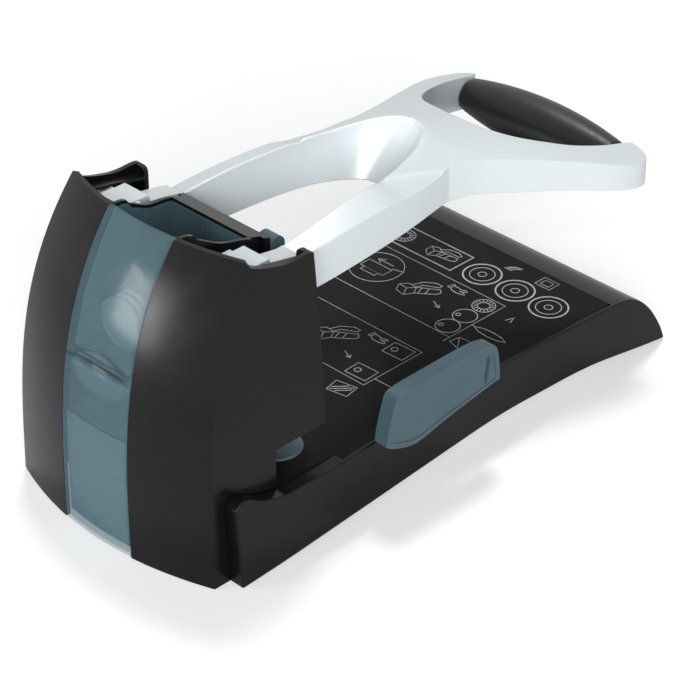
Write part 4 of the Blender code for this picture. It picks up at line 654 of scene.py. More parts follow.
def cover_point(column, z, inset):
    """Columns 0 to 1 run along the front, and 1 to 2 along the side."""
    seam = seam_at(z) + SEAM / 2
    side = side_at(z) - inset
    if column < 1:
        x = seam + (side - seam) * column
        return (x, front_at(x, z) + inset, z)
    corner = front_at(side, z) + inset
    return (side, corner + (TOWER_REAR - corner) * (column - 1), z)


print("rim at the rear, mm:", round(1000 * cover_top_at(2), 1))

# %% [markdown]
# Two layers make a cover: its wall, and a lining that stiffens it at two ribs. Inside the rim
# lies a sunk shelf, open over the lever's hub, and a low wall turns in at the rear. What a
# cover encloses trims them both.

# %% Layers, shelf and rear wall
SHELF_INSET = 0.0012


def cover_layer(columns, outside, inside, low, below, rows=26):
    """A layer of a cover between two insets."""
    rings = []
    for column in columns:
        top = cover_top_at(column) - below
        heights = [low + (top - low) * (1 - (1 - row / rows) ** 1.25) for row in range(rows + 1)]
        ring = [cover_point(column, z, outside) for z in heights]
        rings.append(ring + [cover_point(column, z, inside) for z in reversed(heights)])
    return skin(rings)


def cover_solid(inset, low, high, rows=8):
    """What one side cover encloses, between two levels."""
    rings = []
    for row in range(rows + 1):
        z = low + (high - low) * row / rows
        ring = [cover_point(step / FRONT_COLUMNS, z, inset) for step in range(FRONT_COLUMNS)]
        ring += [cover_point(1 + step / 12, z, inset) for step in range(13)]
        rings.append(ring + [(seam_at(z), TOWER_REAR, z)])
    return skin(rings)


def cover_shelf():
    """The sunk shelf inside a cover's rim, open over the lever's hub, and the wall at its rear."""
    slope = [(0.0, 0.1458), (0.0355, 0.1458), (0.0355, 0.1475), (0.0, 0.1540)]
    strip = [(0.0345, 0.1448), (0.0500, 0.1422), (0.0712, 0.1380), (0.0712, 0.1396)]
    strip += [(0.0500, 0.1438), (0.0345, 0.1468)]
    parts = [drawn_out(slope, 0.0243, 0.0660, "X"), drawn_out(strip, 0.0507, 0.0660, "X")]
    wall = [(0.0507, 0.1115), (0.0660, 0.1115), (0.0660, 0.1436), (0.0590, 0.1443)]
    wall += [(0.0532, 0.1445), (0.0517, 0.1438), (0.0509, 0.1424), (0.0507, 0.1406)]
    parts.append(drawn_out(wall, 0.0692, 0.0716, "Y"))
    return shared(welded(parts), [cover_solid(SHELF_INSET, 0.100, 0.1560)])


print("cover's wall, mm:", WALL * 1000)

# %% [markdown]
# The throat is cut last, and only then are the edges rounded. The left cover is the mirror
# image of the right one.

# %% The side covers
COVER_EDGE = 0.0010
rib_spans = ((0.062, 0.064), (0.0705, 0.0717))


def side_cover(side):
    front_columns = [step / FRONT_COLUMNS for step in range(FRONT_COLUMNS)]
    side_columns = [1 + share for share, _ in cover_top]
    cover = cover_layer(front_columns + side_columns, 0, WALL, 0.0008, 0)
    lining = cover_layer(side_columns, WALL - 0.001, WALL + 0.003, 0.111, 0.0050)
    ribs = [block((0, low, 0), (0.07, high, 0.16)) for low, high in rib_spans]
    cover = welded([cover, shared(lining, [welded(ribs)]), cover_shelf()])
    carved(cover, [block((0, 0.040, -0.006), (0.08, 0.08, THROAT_TOP))])
    return mirrored(softened(cover, COVER_EDGE, 3, 40, 0.04), side)


for side, hand in ((1, "right"), (-1, "left")):
    cover, solid = side_cover(side), f"{hand}_tower_cover"
    settle(cover, f"{hand}_side_cover", "machine_body", "black_plastic", solid)

# %% [markdown]
# A shallow rear cover closes each side from behind, below the arm. It is flat, so the solid of
# the frame already has its shape. A copy of it with rounded edges is enough. The copy's doubles
# are merged first, because the frame's meshes are loose triangles.

# %% Soft copies of plain solids
def soft_copy(node_name, width, cutters=()):
    """A copy of a solid of the frame, cut and with soft edges, back in the machine's frame."""
    shape = bpy.data.objects.new("shape", frame["nodes"][node_name].data.copy())
    bpy.context.scene.collection.objects.link(shape)
    shape.data.transform(Matrix.Translation(-machine_shift))
    work = bmesh.new()
    work.from_mesh(shape.data)
    bmesh.ops.remove_doubles(work, verts=work.verts, dist=MERGE_DISTANCE)
    work.to_mesh(shape.data)
    work.free()
    if cutters:
        carved(shape, cutters)
    return softened(shape, width, 2, 40)


for hand in ("right", "left"):
    rear = soft_copy(f"{hand}_rear_cover", 0.0005)
    settle(rear, f"{hand}_back_cover", "machine_body", "black_plastic", f"{hand}_rear_cover")

# %% [markdown]
# The centre housing stands between the covers. Its front is hidden behind the clear strip, and
# its sides part towards the rear to clear the lever's links. It holds a room for the clear box
# above, a room for the drawer below, and the lock's slot in its rear wall. A block that follows
# the tower's front is lofted first, and the rooms are carved out of it.

# %% A block that follows the front
SPREAD = [step / 8 - 1 for step in range(17)]
HOUSING_HALF = 0.0228
HOUSING_REAR = 0.074
SPLAY_START = 0.029
SPLAY_LENGTH = 0.045
housing_top = smooth_table((
    (-0.70, 1.000), (0.32, 1.000), (0.49, 0.969), (0.65, 0.931), (0.81, 0.916), (1.00, 0.8905),
), 5)


def housing_half_at(y):
    return HOUSING_HALF + 0.0062 * max(y - SPLAY_START, 0) / SPLAY_LENGTH


def centre_block(setback, inset, rear, low, high, rows=20):
    """A block behind the tower's front, set back from it and in from the housing's sides."""
    half = HOUSING_HALF - inset
    rear_half = housing_half_at(rear) - inset
    rings = []
    for row in range(rows + 1):
        z = low + (high - low) * row / rows
        ring = [(half * at, front_at(half * at, z) + setback, z) for at in SPREAD]
        ring += [(half, SPLAY_START, z), (rear_half, rear, z)]
        ring += [(-rear_half, rear, z), (-half, SPLAY_START, z)]
        rings.append(ring)
    return skin(rings)


def above_saddle(lowered):
    """What lies above the housing's saddle."""
    edge = [(HOUSING_REAR * at, TOWER_HEIGHT * up - lowered) for at, up in housing_top]
    outline = [*edge, (0.08, edge[-1][1]), (0.08, 0.18), (edge[0][0], 0.18)]
    return drawn_out(outline, -0.07, 0.07, "X")


print("housing's half width at the rear, mm:", round(1000 * housing_half_at(HOUSING_REAR), 1))

# %% [markdown]
# The rooms are cut in one pass: the saddle on top, the clear box's room, the drawer's, the
# throat, the chips' way down to the drawer, and the lock's slot. Each side has two more, where
# the arm and the chute pass.

# %% The centre housing
def centre_housing():
    body = centre_block(0.0031, 0, HOUSING_REAR, 0.004, 0.1563)
    cutters = [
        above_saddle(0),
        centre_block(-0.006, 0.002, 0.064, 0.093, 0.1573),
        block((-0.021, -0.019, 0.0075), (0.021, 0.0465, 0.091)),
        block((-0.035, 0.050, -0.006), (0.035, 0.080, THROAT_TOP + 0.0003)),
        block((-0.020, 0.053, 0.051), (0.020, 0.064, 0.089)),
        block((0.0190, 0.0677, 0.1257), (0.0275, 0.080, 0.1303)),
    ]
    for side in (1, -1):
        wall_x = housing_half_at(0.064) - 0.0015
        cutters.append(mirrored(block((wall_x, 0.064, 0.129), (0.035, 0.0705, 0.162)), side))
        cutters.append(mirrored(block((0.015, 0.0364, 0.0645), (0.035, 0.0464, 0.0825)), side))
    return softened(carved(body, cutters), 0.0006, 3, 40)


settle(centre_housing(), "housing", "machine_body", "black_plastic", "centre_housing")

# %% [markdown]
# The window is the clear front of two pieces. Above, it belongs to a small tub for spare discs.
# Below, it is the front of the chip drawer. Where they meet, the upper piece is sunk in under an
# arch, and behind the drawer's lip hangs a small bowl, so that a fingertip can pull the drawer
# out. Each strip is lofted on the front's surface. Its first rows of points follow the arch, so
# that the sunk place has a clean edge.

# %% The clear strip
WINDOW_WALL = 0.0022
SPLIT = 0.0909
ARCH_ROWS = 12
ARCH_SPAN = 0.93


def window_strip(low, high, arch=0.0, depth=0.0, rows=44):
    """A strip of the front, sunk in under an arch at its lower edge."""
    rings = []
    for row in range(rows + 1):
        face = []
        for step in range(33):
            across = step / 16 - 1
            reach = max(arch * (1 - (across / ARCH_SPAN) ** 2), 0.0012)
            if row <= ARCH_ROWS:
                part = row / ARCH_ROWS
                z = low + reach * part
            else:
                part = 1
                z = low + reach + (high - low - reach) * (row - ARCH_ROWS) / (rows - ARCH_ROWS)
            x = (seam_at(z) - SEAM / 2) * across
            sunk = depth * max(1 - (across / ARCH_SPAN) ** 2, 0) ** 0.7 * (1 - part) ** 0.8
            face.append((x, front_at(x, z) + sunk, z))
        rings.append(face + [(x, y + WINDOW_WALL, z) for x, y, z in reversed(face)])
    return skin(rings)


print("clear wall, mm:", WINDOW_WALL * 1000)

# %% [markdown]
# The tub behind the upper strip is one block that follows the front, carved out by another.
# The strip's edges are rounded before the two are joined.

# %% The clear box for spare discs
def clear_box():
    strip = window_strip(SPLIT + SEAM, TOWER_HEIGHT, 0.0100, 0.0042)
    tub = centre_block(0.001, 0.0023, 0.0637, 0.0933, 0.1563)
    room = centre_block(WINDOW_WALL - 0.0004, 0.0041, 0.0619, 0.0951, 0.1573)
    tub = softened(carved(tub, [room, above_saddle(0.0015)]), 0.0004, 2, 50)
    return welded([softened(strip, 0.0009, 3, 50, 0), tub])


settle(clear_box(), "clear_box", "machine_body", "clear_slate", "storage_box")

# %% [markdown]
# The drawer is a bin behind the lower strip, with a toe that reaches down to the base's foot.
# Blocks that follow the front trim both, so that the bin touches the strip's back everywhere.

# %% The chip drawer
def behind_front(shape, setback):
    """The part of a shape that lies so far behind the tower's front."""
    return shared(shape, [centre_block(setback, 0, HOUSING_REAR, 0, 0.155)])


def drawer():
    strip = softened(window_strip(0.0015, SPLIT - SEAM), 0.0009, 3, 50, 0)
    bin_body = behind_front(block((-0.0204, -0.019, 0.0078), (0.0204, 0.0455, 0.062)), 0.001)
    toe = behind_front(block((-0.0204, -0.019, 0.0022), (0.0204, 0.0020, 0.0085)), 0.001)
    room = block((-0.0188, -0.019, 0.0098), (0.0188, 0.0439, 0.068))
    room = behind_front(room, WINDOW_WALL - 0.0004)
    return welded([strip, softened(carved(welded([bin_body, toe]), [room]), 0.0004, 2, 50)])


settle(drawer(), "clear_drawer", "drawer", "clear_slate", "chip_drawer")

# %% [markdown]
# The bowl behind the drawer's lip is half a sphere's skin, bent to the front. It is lofted from
# half rings that shrink on their way down.

# %% The finger bowl
def finger_bowl(rows=10):
    """A thin half bowl behind the drawer's lip."""
    rings = []
    for row in range(rows + 1):
        down = 0.97 * math.sin(math.pi / 2 * row / rows)
        z = SPLIT - 0.0012 - 0.0125 * down
        round_share = math.sqrt(1 - down**2)
        ring = []
        for wall, steps in ((0, range(25)), (0.0008, range(24, -1, -1))):
            for step in steps:
                angle = math.pi * step / 24
                x = (0.0192 * round_share + wall - 0.0008) * math.cos(angle)
                back = (0.0078 * round_share + wall - 0.0008) * math.sin(angle)
                ring.append((x, front_at(x, z) + WINDOW_WALL + 0.0001 + max(back, 0), z - 0.5 * wall))
        rings.append(ring)
    return skin(rings)


settle(finger_bowl(), "finger_bowl", "drawer", "clear_slate")

# %% [markdown]
# A dark mat lies in the drawer and shows through the clear front. It is a plain slab with
# round edges, cut to the drawer's room, and it rides with the drawer.

# %% The mat in the drawer
mat = block((-0.0182, -0.019, 0.0099), (0.0182, 0.0434, 0.0148))
mat = behind_front(mat, WINDOW_WALL + 0.0030)
settle(softened(mat, 0.0006, 2, 50), "drawer_mat", "drawer", "black_plastic")

# %% [markdown]
# ## The lever
# The lever is one long casting, painted silver: two arms from the hubs, a neck, and two horns
# that hold the grip. Sculpting would suit it, but its edges have to meet the hubs and the grip
# exactly, so it is built as a skin over an outline. Three lines give the outline from above, as
# shares of the half width and of the length: the outer side, the space between the horns, and
# the arch between the arms, which opens wider above than below.

# %% The lever's outline in shares
LEVER_FRONT = 0.0760
LEVER_LENGTH = 0.2240
LEVER_HALF = 0.0674
outer_shares = (
    (0.663, 0.000), (0.662, 0.089), (0.628, 0.246), (0.576, 0.379), (0.503, 0.493), (0.556, 0.576),
    (0.684, 0.679), (0.831, 0.781), (0.963, 0.878), (1.000, 0.938), (0.985, 0.975), (0.940, 0.995),
    (0.860, 1.000),
)
horn_shares = (
    (0.790, 0.998), (0.770, 0.970), (0.742, 0.904), (0.662, 0.821), (0.505, 0.732), (0.344, 0.679),
    (0.178, 0.654), (0.000, 0.644),
)
arch_top_shares = (
    (0.000, 0.536), (0.108, 0.523), (0.217, 0.480), (0.320, 0.408), (0.389, 0.335), (0.426, 0.225),
    (0.467, 0.1205), (0.4926, 0.000),
)
arch_bottom_shares = (
    (0.000, 0.4375), (0.110, 0.432), (0.200, 0.4085), (0.306, 0.3616), (0.375, 0.307), (0.426, 0.225),
    (0.460, 0.1205), (0.4926, 0.000),
)
print("lever's length and width, mm:", 1000 * LEVER_LENGTH, 2000 * LEVER_HALF)

# %% [markdown]
# Its top is a crown that falls away to the sides. One table gives the crown's height along the
# middle and how fast it falls, and a second one gives the underside. Where the neck lies over
# an arm, the top has a small lip, whose line runs from the arch back to the waist.

# %% The lever's crown, underside and lip
crown = smooth_table((
    (0.000, 0.205, 0.188), (0.071, 0.115, 0.223), (0.170, 0.020, 0.283), (0.281, 0.000, 0.330),
    (0.375, 0.000, 0.438), (0.496, 0.020, 0.566), (0.576, 0.127, 0.458), (0.679, 0.311, 0.330),
    (0.763, 0.480, 0.263), (0.821, 0.648, 0.209), (0.904, 0.824, 0.192), (1.000, 1.000, 0.195),
))
underside = smooth_table((
    (0.000, 0.062), (0.107, 0.053), (0.313, 0.018), (0.420, 0.000), (0.496, 0.031), (0.576, 0.120),
    (0.647, 0.267), (0.746, 0.449), (0.848, 0.676), (0.929, 0.880), (1.000, 1.000),
))
lip = (
    (0.0262, 0.1384), (0.0274, 0.1511), (0.0286, 0.1581), (0.0299, 0.1651), (0.0315, 0.1719),
    (0.0330, 0.1787), (0.0350, 0.1858),
)
lip_table = [(y, x) for x, y in lip]
LIP_STEP = 0.0013
LIP_WIDTH = 0.0007
LIP_END = 0.1868
CROWN_TOP, CROWN_FALL = 0.1426, 0.0244
UNDERSIDE_TOP, UNDERSIDE_FALL = 0.1140, 0.0225


def lever_plan(shares):
    """Turns shares of the lever's half width and length into places."""
    return [Vector((LEVER_HALF * x, LEVER_FRONT + LEVER_LENGTH * y)) for x, y in shares]


def eased(share):
    share = min(max(share, 0), 1)
    return share * share * (3 - 2 * share)


def lever_top(x, y):
    """Height of the crowned top, with the arms a step below the neck outside the lip."""
    along = (y - LEVER_FRONT) / LEVER_LENGTH
    height = CROWN_TOP - CROWN_FALL * table_at(crown, along)
    height -= LEVER_HALF * table_at(crown, along, 2) * (x / LEVER_HALF) ** 2
    if lip[0][1] < y < LIP_END:
        outside = (abs(x) - table_at(lip_table, y)) / LIP_WIDTH
        height -= LIP_STEP * min(max(outside, 0), 1) * eased((y - lip[0][1]) / 0.012)
    return height


def lever_underside(x, y):
    along = (y - LEVER_FRONT) / LEVER_LENGTH
    return UNDERSIDE_TOP - UNDERSIDE_FALL * table_at(underside, along)


print("lever's lip, mm:", LIP_STEP * 1000)

# %% [markdown]
# The outline has a corner at the waist, where the arm's side meets the horn's, so the outer
# edge is two splines. Below, the arch ends sooner than above, so that its inner wall slopes and
# catches the light.

# %% The lever's outline and its rings
WAIST = 4


def lever_loop(arch):
    arm_side = smooth_line(lever_plan(outer_shares[:WAIST + 1]), 9)[:-1]
    right = arm_side + smooth_line(lever_plan(outer_shares[WAIST:]), 9)
    right += smooth_line(lever_plan(horn_shares), 9)
    left = [Vector((-p.x, p.y)) for p in reversed(right[:-1])]
    inner = smooth_line(lever_plan(arch), 9)
    return right + left + [Vector((-p.x, p.y)) for p in reversed(inner)] + inner[1:]


def inward(loop):
    """For each point of a loop, the direction into the material."""
    area = sum(a.x * b.y - b.x * a.y for a, b in zip(loop, loop[1:] + loop[:1]))
    ways = []
    for before, after in zip(loop[-1:] + loop[:-1], loop[1:] + loop[:1]):
        along = (after - before).normalized()
        ways.append(Vector((-along.y, along.x)) * (1 if area > 0 else -1))
    return ways


def edge_radius(point):
    """The top edge is crisp, but rolls over softly at the rear end of the arch."""
    in_arch = abs(point.x) < 0.024 and 0.150 < point.y < 0.200
    return 0.0008 + (0.0020 * eased((point.y - 0.155) / 0.030) if in_arch else 0)


def rolled_edge(loop, height, direction, steps=4):
    """Rings from the skin's rim over the edge to the wall, as points in space."""
    rings = []
    for step in range(steps + 1):
        angle = math.pi / 2 * step / steps
        ring = []
        for point, way in zip(loop, inward(loop)):
            radius = edge_radius(point) if direction > 0 else 0.0007
            spot = point + way * radius * (1 - math.sin(angle))
            rim = point + way * radius
            ring.append((spot.x, spot.y, height(*rim) - direction * radius * (1 - math.cos(angle))))
        rings.append(ring)
    return rings


print("outline's points:", len(lever_loop(arch_top_shares)))

# %% [markdown]
# Delaunay triangulation fills the outline with even points. Two tests keep the points where
# they belong: one tells whether a point lies within a loop, and one whether it is clear of it.

# %% Points within a loop
def within(point, loop):
    crossings = False
    for a, b in zip(loop, loop[1:] + loop[:1]):
        if (a.y > point.y) != (b.y > point.y):
            if point.x < a.x + (b.x - a.x) * (point.y - a.y) / (b.y - a.y):
                crossings = not crossings
    return crossings


def clear_of(point, loop, distance):
    for a, b in zip(loop, loop[1:] + loop[:1]):
        along = b - a
        part = min(max((point - a).dot(along) / along.length_squared, 0), 1)
        if (point - a - along * part).length < distance:
            return False
    return True


print("its middle is open:", not within(Vector((0, LEVER_FRONT)), lever_loop(arch_top_shares)))

# %% [markdown]
# Each point of the fill takes its height from the rule of the top or of the underside. Points
# of the rim keep the height that they have, so that the skin meets the rolled edge.

# %% A skin over an outline
def filled(ring, height, grid, creases=()):
    """Points and triangles inside a ring, with even points and with creases kept as edges."""
    loop = [Vector(point[:2]) for point in ring]
    spots = list(loop)
    edges = [(index, (index + 1) % len(loop)) for index in range(len(loop))]
    for crease in creases:
        first = len(spots)
        spots += [Vector(point) for point in crease]
        edges += [(index, index + 1) for index in range(first, len(spots) - 1)]
    fixed = len(spots)
    for column in range(-int(LEVER_HALF / grid), int(LEVER_HALF / grid) + 1):
        for row in range(1, int(LEVER_LENGTH / grid)):
            spot = Vector((grid * column, LEVER_FRONT + grid * row))
            near_crease = any((spot - other).length < grid * 0.5 for other in spots[len(loop):fixed])
            if not near_crease and within(spot, loop) and clear_of(spot, loop, grid * 0.45):
                spots.append(spot)
    places, _, corners, origins = delaunay_2d_cdt(spots, edges, [], 0, 0.000001)[:4]
    points = []
    for place, source in zip(places, origins):
        on_rim = bool(source) and source[0] < len(loop)
        points.append((place.x, place.y, ring[source[0]][2] if on_rim else height(*place)))
    middles = [sum((places[index] for index in face), Vector((0, 0))) / len(face) for face in corners]
    return points, [face for face, middle in zip(corners, middles) if within(middle, loop)]


print("skins over outlines ready")

# %% [markdown]
# The two skins, the rolled edges and the wall between them are one mesh. The lip is two lines
# that the triangulation keeps as edges, so its step stays crisp.

# %% The lever's body
FINE, COARSE = 0.0032, 0.0080


def lip_lines():
    """Both edges of the lip's step, on both sides."""
    lines = []
    for side in (1, -1):
        for shift in (0, LIP_WIDTH):
            rows = [(x, y) for x, y in smooth_line(lip, 4) if 0.1400 < y < 0.1840]
            lines.append([(side * (x + shift), y) for x, y in rows])
    return lines


def lever_body():
    upper = rolled_edge(lever_loop(arch_top_shares), lever_top, 1)
    lower = rolled_edge(lever_loop(arch_bottom_shares), lever_underside, -1, 2)
    top_points, top_faces = filled(upper[0], lever_top, FINE, lip_lines())
    low_points, low_faces = filled(lower[0], lever_underside, COARSE)
    points = top_points + low_points
    faces = list(top_faces) + [tuple(c + len(top_points) for c in face) for face in low_faces]
    rings = upper + lower[::-1]
    count = len(rings[0])
    start = len(points)
    for ring in rings:
        points += ring
    for span in range(len(rings) - 1):
        here, there = start + span * count, start + (span + 1) * count
        for step in range(count):
            after = (step + 1) % count
            faces.append((here + step, here + after, there + after, there + step))
    body = shape_of(points, faces)
    work = bmesh.new()
    work.from_mesh(body.data)
    bmesh.ops.remove_doubles(work, verts=work.verts, dist=0.000003)
    bmesh.ops.recalc_face_normals(work, faces=work.faces)
    work.to_mesh(body.data)
    work.free()
    return body


print("spacing of the fill above and below, mm:", FINE * 1000, COARSE * 1000)

# %% [markdown]
# In front of the arms, each side has a flat link and a round hub on its axle. A slot in the
# link takes the cross pin of the punch below. These are plain turned and drawn shapes with
# rounded edges. The hub's top and front are milled flat, as the photograph shows them.

# %% Links and hubs
PIVOT = (0.0410, 0.1370)
PIN = (0.0660, 0.1250)
HUB_RADIUS = 0.0155
SLOT_RADIUS = 0.0037


def link_and_hub():
    plan = [
        (0.0347, 0.041), (0.0455, 0.041), (0.0455, 0.0721), (0.0444, 0.0772), (0.0335, 0.0772),
        (0.0347, 0.0721),
    ]
    body = drawn_out(plan, 0.108, 0.1486, "Z")
    link_top = lever_top(0.0347, LEVER_FRONT) - 0.0003
    arm_bottom = lever_underside(0, LEVER_FRONT) + 0.0003
    side = [
        (0.041, 0.1515), (0.0565, 0.138), (0.083, link_top), (0.083, arm_bottom), (0.075, arm_bottom),
        (0.060, 0.117), (0.041, 0.1225),
    ]
    body = shared(body, [drawn_out(side, 0, LEVER_HALF, "X")])
    hub = turned(((0.0319, HUB_RADIUS), (0.0483, HUB_RADIUS)), PIVOT, "X", 72)
    top_flat = block((0.02, 0, 0.1432), (0.06, 0.10, 0.17))
    flats = [top_flat, block((0.02, 0, 0.1250), (0.06, 0.0345, 0.17))]
    return softened(carved(welded([body, hub]), flats), 0.0011, 3, 40)


def pin_slot():
    angle = math.atan2(PIN[1] - PIVOT[1], PIN[0] - PIVOT[0])
    outline = []
    for reach, start in ((math.hypot(0.025, 0.012), -math.pi / 2), (0.025, math.pi / 2)):
        middle = (PIVOT[0] + reach * math.cos(angle), PIVOT[1] + reach * math.sin(angle))
        for step in range(13):
            turn = angle + start + math.pi * step / 12
            across, up = SLOT_RADIUS * math.cos(turn), SLOT_RADIUS * math.sin(turn)
            outline.append((middle[0] + across, middle[1] + up))
    return drawn_out(outline, 0, LEVER_HALF, "X")


print("pin's reach from the pivot, mm:", round(1000 * math.dist(PIVOT, PIN), 1))

# %% [markdown]
# Body, links and hubs are joined by a Boolean. Three holes are cut last: the axle's, the one
# for the grip's rod, and the small one that takes the lock's bolt.

# %% The finished lever
ROD = (0.2914, 0.1022)
BOLT = (0.0790, 0.1280)


def lever():
    shapes = [lever_body()]
    for side in (1, -1):
        shapes.append(mirrored(carved(link_and_hub(), [pin_slot()]), side))
    holes = [
        turned(((-0.07, 0.0043), (0.07, 0.0043)), PIVOT, "X"),
        turned(((-0.0602, 0.0053), (0.0602, 0.0053)), ROD, "X"),
        turned(((0.0190, 0.0032), (0.0382, 0.0032)), BOLT, "X"),
    ]
    return carved(welded(shapes), holes)


settle(lever(), "lever", "lever", "silver_paint", "lever_frame", smooth=38)

# %% [markdown]
# ## The base
# The base is one moulding: a deck with raised rims, a cheek on each side of the tower, and an
# arched underside on four feet. Its side view is an outline of two smooth lines, the rim above
# and the arch below, each given as shares of the length and of its own height.

# %% The base's side view
BASE_HALF = 0.0765
BASE_FRONT = 0.0080
BASE_LENGTH = 0.2998
BASE_HEIGHT = 0.0463
BASE_LIFT = 0.0008
RIM_RISE, ARCH_RISE = 0.0455, 0.0113
DECK = 0.0358
rim_shares = (
    (0.000, 0.940), (0.013, 1.000), (0.028, 0.985), (0.054, 0.888), (0.093, 0.815), (0.116, 0.801),
    (0.190, 0.797), (0.290, 0.830), (0.450, 0.862), (0.579, 0.870), (0.682, 0.853), (0.804, 0.819),
    (0.885, 0.788), (0.924, 0.706), (0.959, 0.497), (0.987, 0.212), (1.000, 0.000),
)
arch_shares = (
    (0.994, 0.00), (0.934, 0.24), (0.805, 0.78), (0.682, 0.96), (0.564, 1.00), (0.390, 0.69),
    (0.123, 0.16), (0.004, 0.00),
)


def base_outline():
    rim = [(BASE_FRONT + BASE_LENGTH * y, BASE_LIFT + RIM_RISE * z) for y, z in rim_shares]
    arch = [(BASE_FRONT + BASE_LENGTH * y, BASE_LIFT + ARCH_RISE * z) for y, z in arch_shares]
    return [tuple(p) for p in smooth_line(rim, 5) + smooth_line(arch, 4)]


print("points in the base's side view:", len(base_outline()))

# %% [markdown]
# The outline is drawn out from side to side, a little narrower at the top. The long edges are
# rounded before the deck, the throat and the hollow are carved out, so that the soft rim runs
# on past every cut. A groove under the plate takes the ruler, and four bosses for screws stand
# in the hollow.

# %% The base shell
BASE_DRAFT = 0.0022
RULER_FRONT, RULER_REAR, RULER_FLOOR = 0.1067, 0.1213, 0.0339


def base_blank():
    rings = []
    for side in (-1, 1):
        halves = [(BASE_HALF - BASE_DRAFT * z / BASE_HEIGHT, y, z) for y, z in base_outline()]
        rings.append([(side * half, y, z) for half, y, z in halves])
    return softened(skin(rings), 0.0020, 4, 60)


def base():
    hollow = [(0.080, -0.006), (0.080, 0.0303), (0.280, 0.0303), (0.290, 0.022)]
    hollow += [(0.300, 0.005), (0.300, -0.006)]
    cutters = [
        drawn_out(hollow, -0.0715, 0.0715, "X"),
        block((-0.0678, 0.002, -0.006), (0.0678, 0.0763, 0.053)),
        block((-0.0678, 0.070, -0.006), (0.0678, 0.086, 0.0143)),
        block((-0.0728, 0.0760, DECK), (0.0728, 0.2663, 0.053)),
        block((-0.0606, RULER_FRONT, RULER_FLOOR), (0.0715, RULER_REAR, 0.053)),
        block((0, RULER_FRONT, RULER_FLOOR), (0.083, RULER_REAR, 0.0361)),
    ]
    for side in (1, -1):
        cutters.append(mirrored(block((0.0703, 0.011, -0.006), (0.0735, 0.074, 0.033)), side))
    body = softened(carved(base_blank(), cutters), 0.00035, 2, 50)
    bosses = []
    for x in (-0.06, 0.06):
        for y in (0.100, 0.262):
            stations = ((0.0143, 0.0045), (0.0306, 0.0045), (0.0306, 0.0020), (0.0143, 0.0020))
            bosses.append(turned(stations, (x, y), "Z", 32, "joined"))
    return welded([body, *bosses])


settle(base(), "base", "machine_body", "black_plastic", "base_shell", smooth=40)

# %% [markdown]
# The printed plate is a flat steel sheet with a hole round each disc. Its rear corners are
# round and its edges soft.

# %% The plate
PLATE_TOP = 0.0376
DISC_PLACE = (0.043, 0.062)


def round_corner(corner, radius, start, steps=8):
    """A quarter circle that turns through a corner."""
    x, y = corner
    angles = [start + math.pi / 2 * step / steps for step in range(steps + 1)]
    return [(x + radius * math.cos(a), y + radius * math.sin(a)) for a in angles]


def plate():
    right = [(0.0512, 0.0505), (0.0512, 0.041), (0.0675, 0.041), (0.0675, 0.0763), (0.0725, 0.0763)]
    right += round_corner((0.0695, 0.2630), 0.0030, 0)
    outline = right + [(-x, y) for x, y in reversed(right)]
    sheet = drawn_out(outline, DECK + 0.0003, PLATE_TOP, "Z")
    hole = ((0.030, 0.0133), (0.044, 0.0133))
    holes = [turned(hole, (side * DISC_PLACE[0], DISC_PLACE[1]), "Z", 96) for side in (1, -1)]
    return softened(carved(sheet, holes), 0.0003, 2, 50)


settle(plate(), "printed_plate", "machine_body", "black_steel", "base_plate")

# %% [markdown]
# ## The drawings on the plate
# The plate carries pale line drawings that show how the machine is used. A picture would need
# an image file, so the ink is real geometry, made by Geometry Nodes. A few helpers build a
# tree with named inputs, link its nodes in a row, end it with its material, and run it.

# %% Building a node tree
def node_tree(name, inputs):
    """A Geometry Nodes tree with named inputs, and its two ends."""
    tree = bpy.data.node_groups.new(name, "GeometryNodeTree")
    tree.interface.new_socket("Geometry", in_out="INPUT", socket_type="NodeSocketGeometry")
    tree.interface.new_socket("Geometry", in_out="OUTPUT", socket_type="NodeSocketGeometry")
    for label, kind, value in inputs:
        socket = tree.interface.new_socket(label, in_out="INPUT", socket_type=f"NodeSocket{kind}")
        socket.default_value = value
    return tree, tree.nodes.new("NodeGroupInput"), tree.nodes.new("NodeGroupOutput")


def added(tree, kind, **settings):
    """A new node of a kind, with its settings."""
    node = tree.nodes.new("GeometryNode" + kind)
    for setting, value in settings.items():
        setattr(node, setting, value)
    return node


def chained(tree, *nodes):
    """Links each node's first geometry output to the next one's first input."""
    for node, following in zip(nodes, nodes[1:]):
        tree.links.new(node.outputs[0], following.inputs[0])


def finishing(tree, finish_name):
    """The last two nodes of each tree: real geometry, and its material."""
    realize = tree.nodes.new("GeometryNodeRealizeInstances")
    dress_node = tree.nodes.new("GeometryNodeSetMaterial")
    dress_node.inputs["Material"].default_value = finish_name
    return realize, dress_node


def grown(tree, shape, values):
    """Runs a tree on a shape, with its inputs set by identifier, and keeps the plain result."""
    modifier = shape.modifiers.new(tree.name, "NODES")
    modifier.node_group = tree
    for item in tree.interface.items_tree:
        if item.in_out == "INPUT" and item.name in values:
            modifier[item.identifier] = values[item.name]
    return baked(shape)


print("node tree helpers ready")

# %% [markdown]
# Each drawing is a set of lines in the plate's plane. The tree turns the lines into curves and
# sweeps a flat strip along each of them, so that one value sets the width of all the ink.

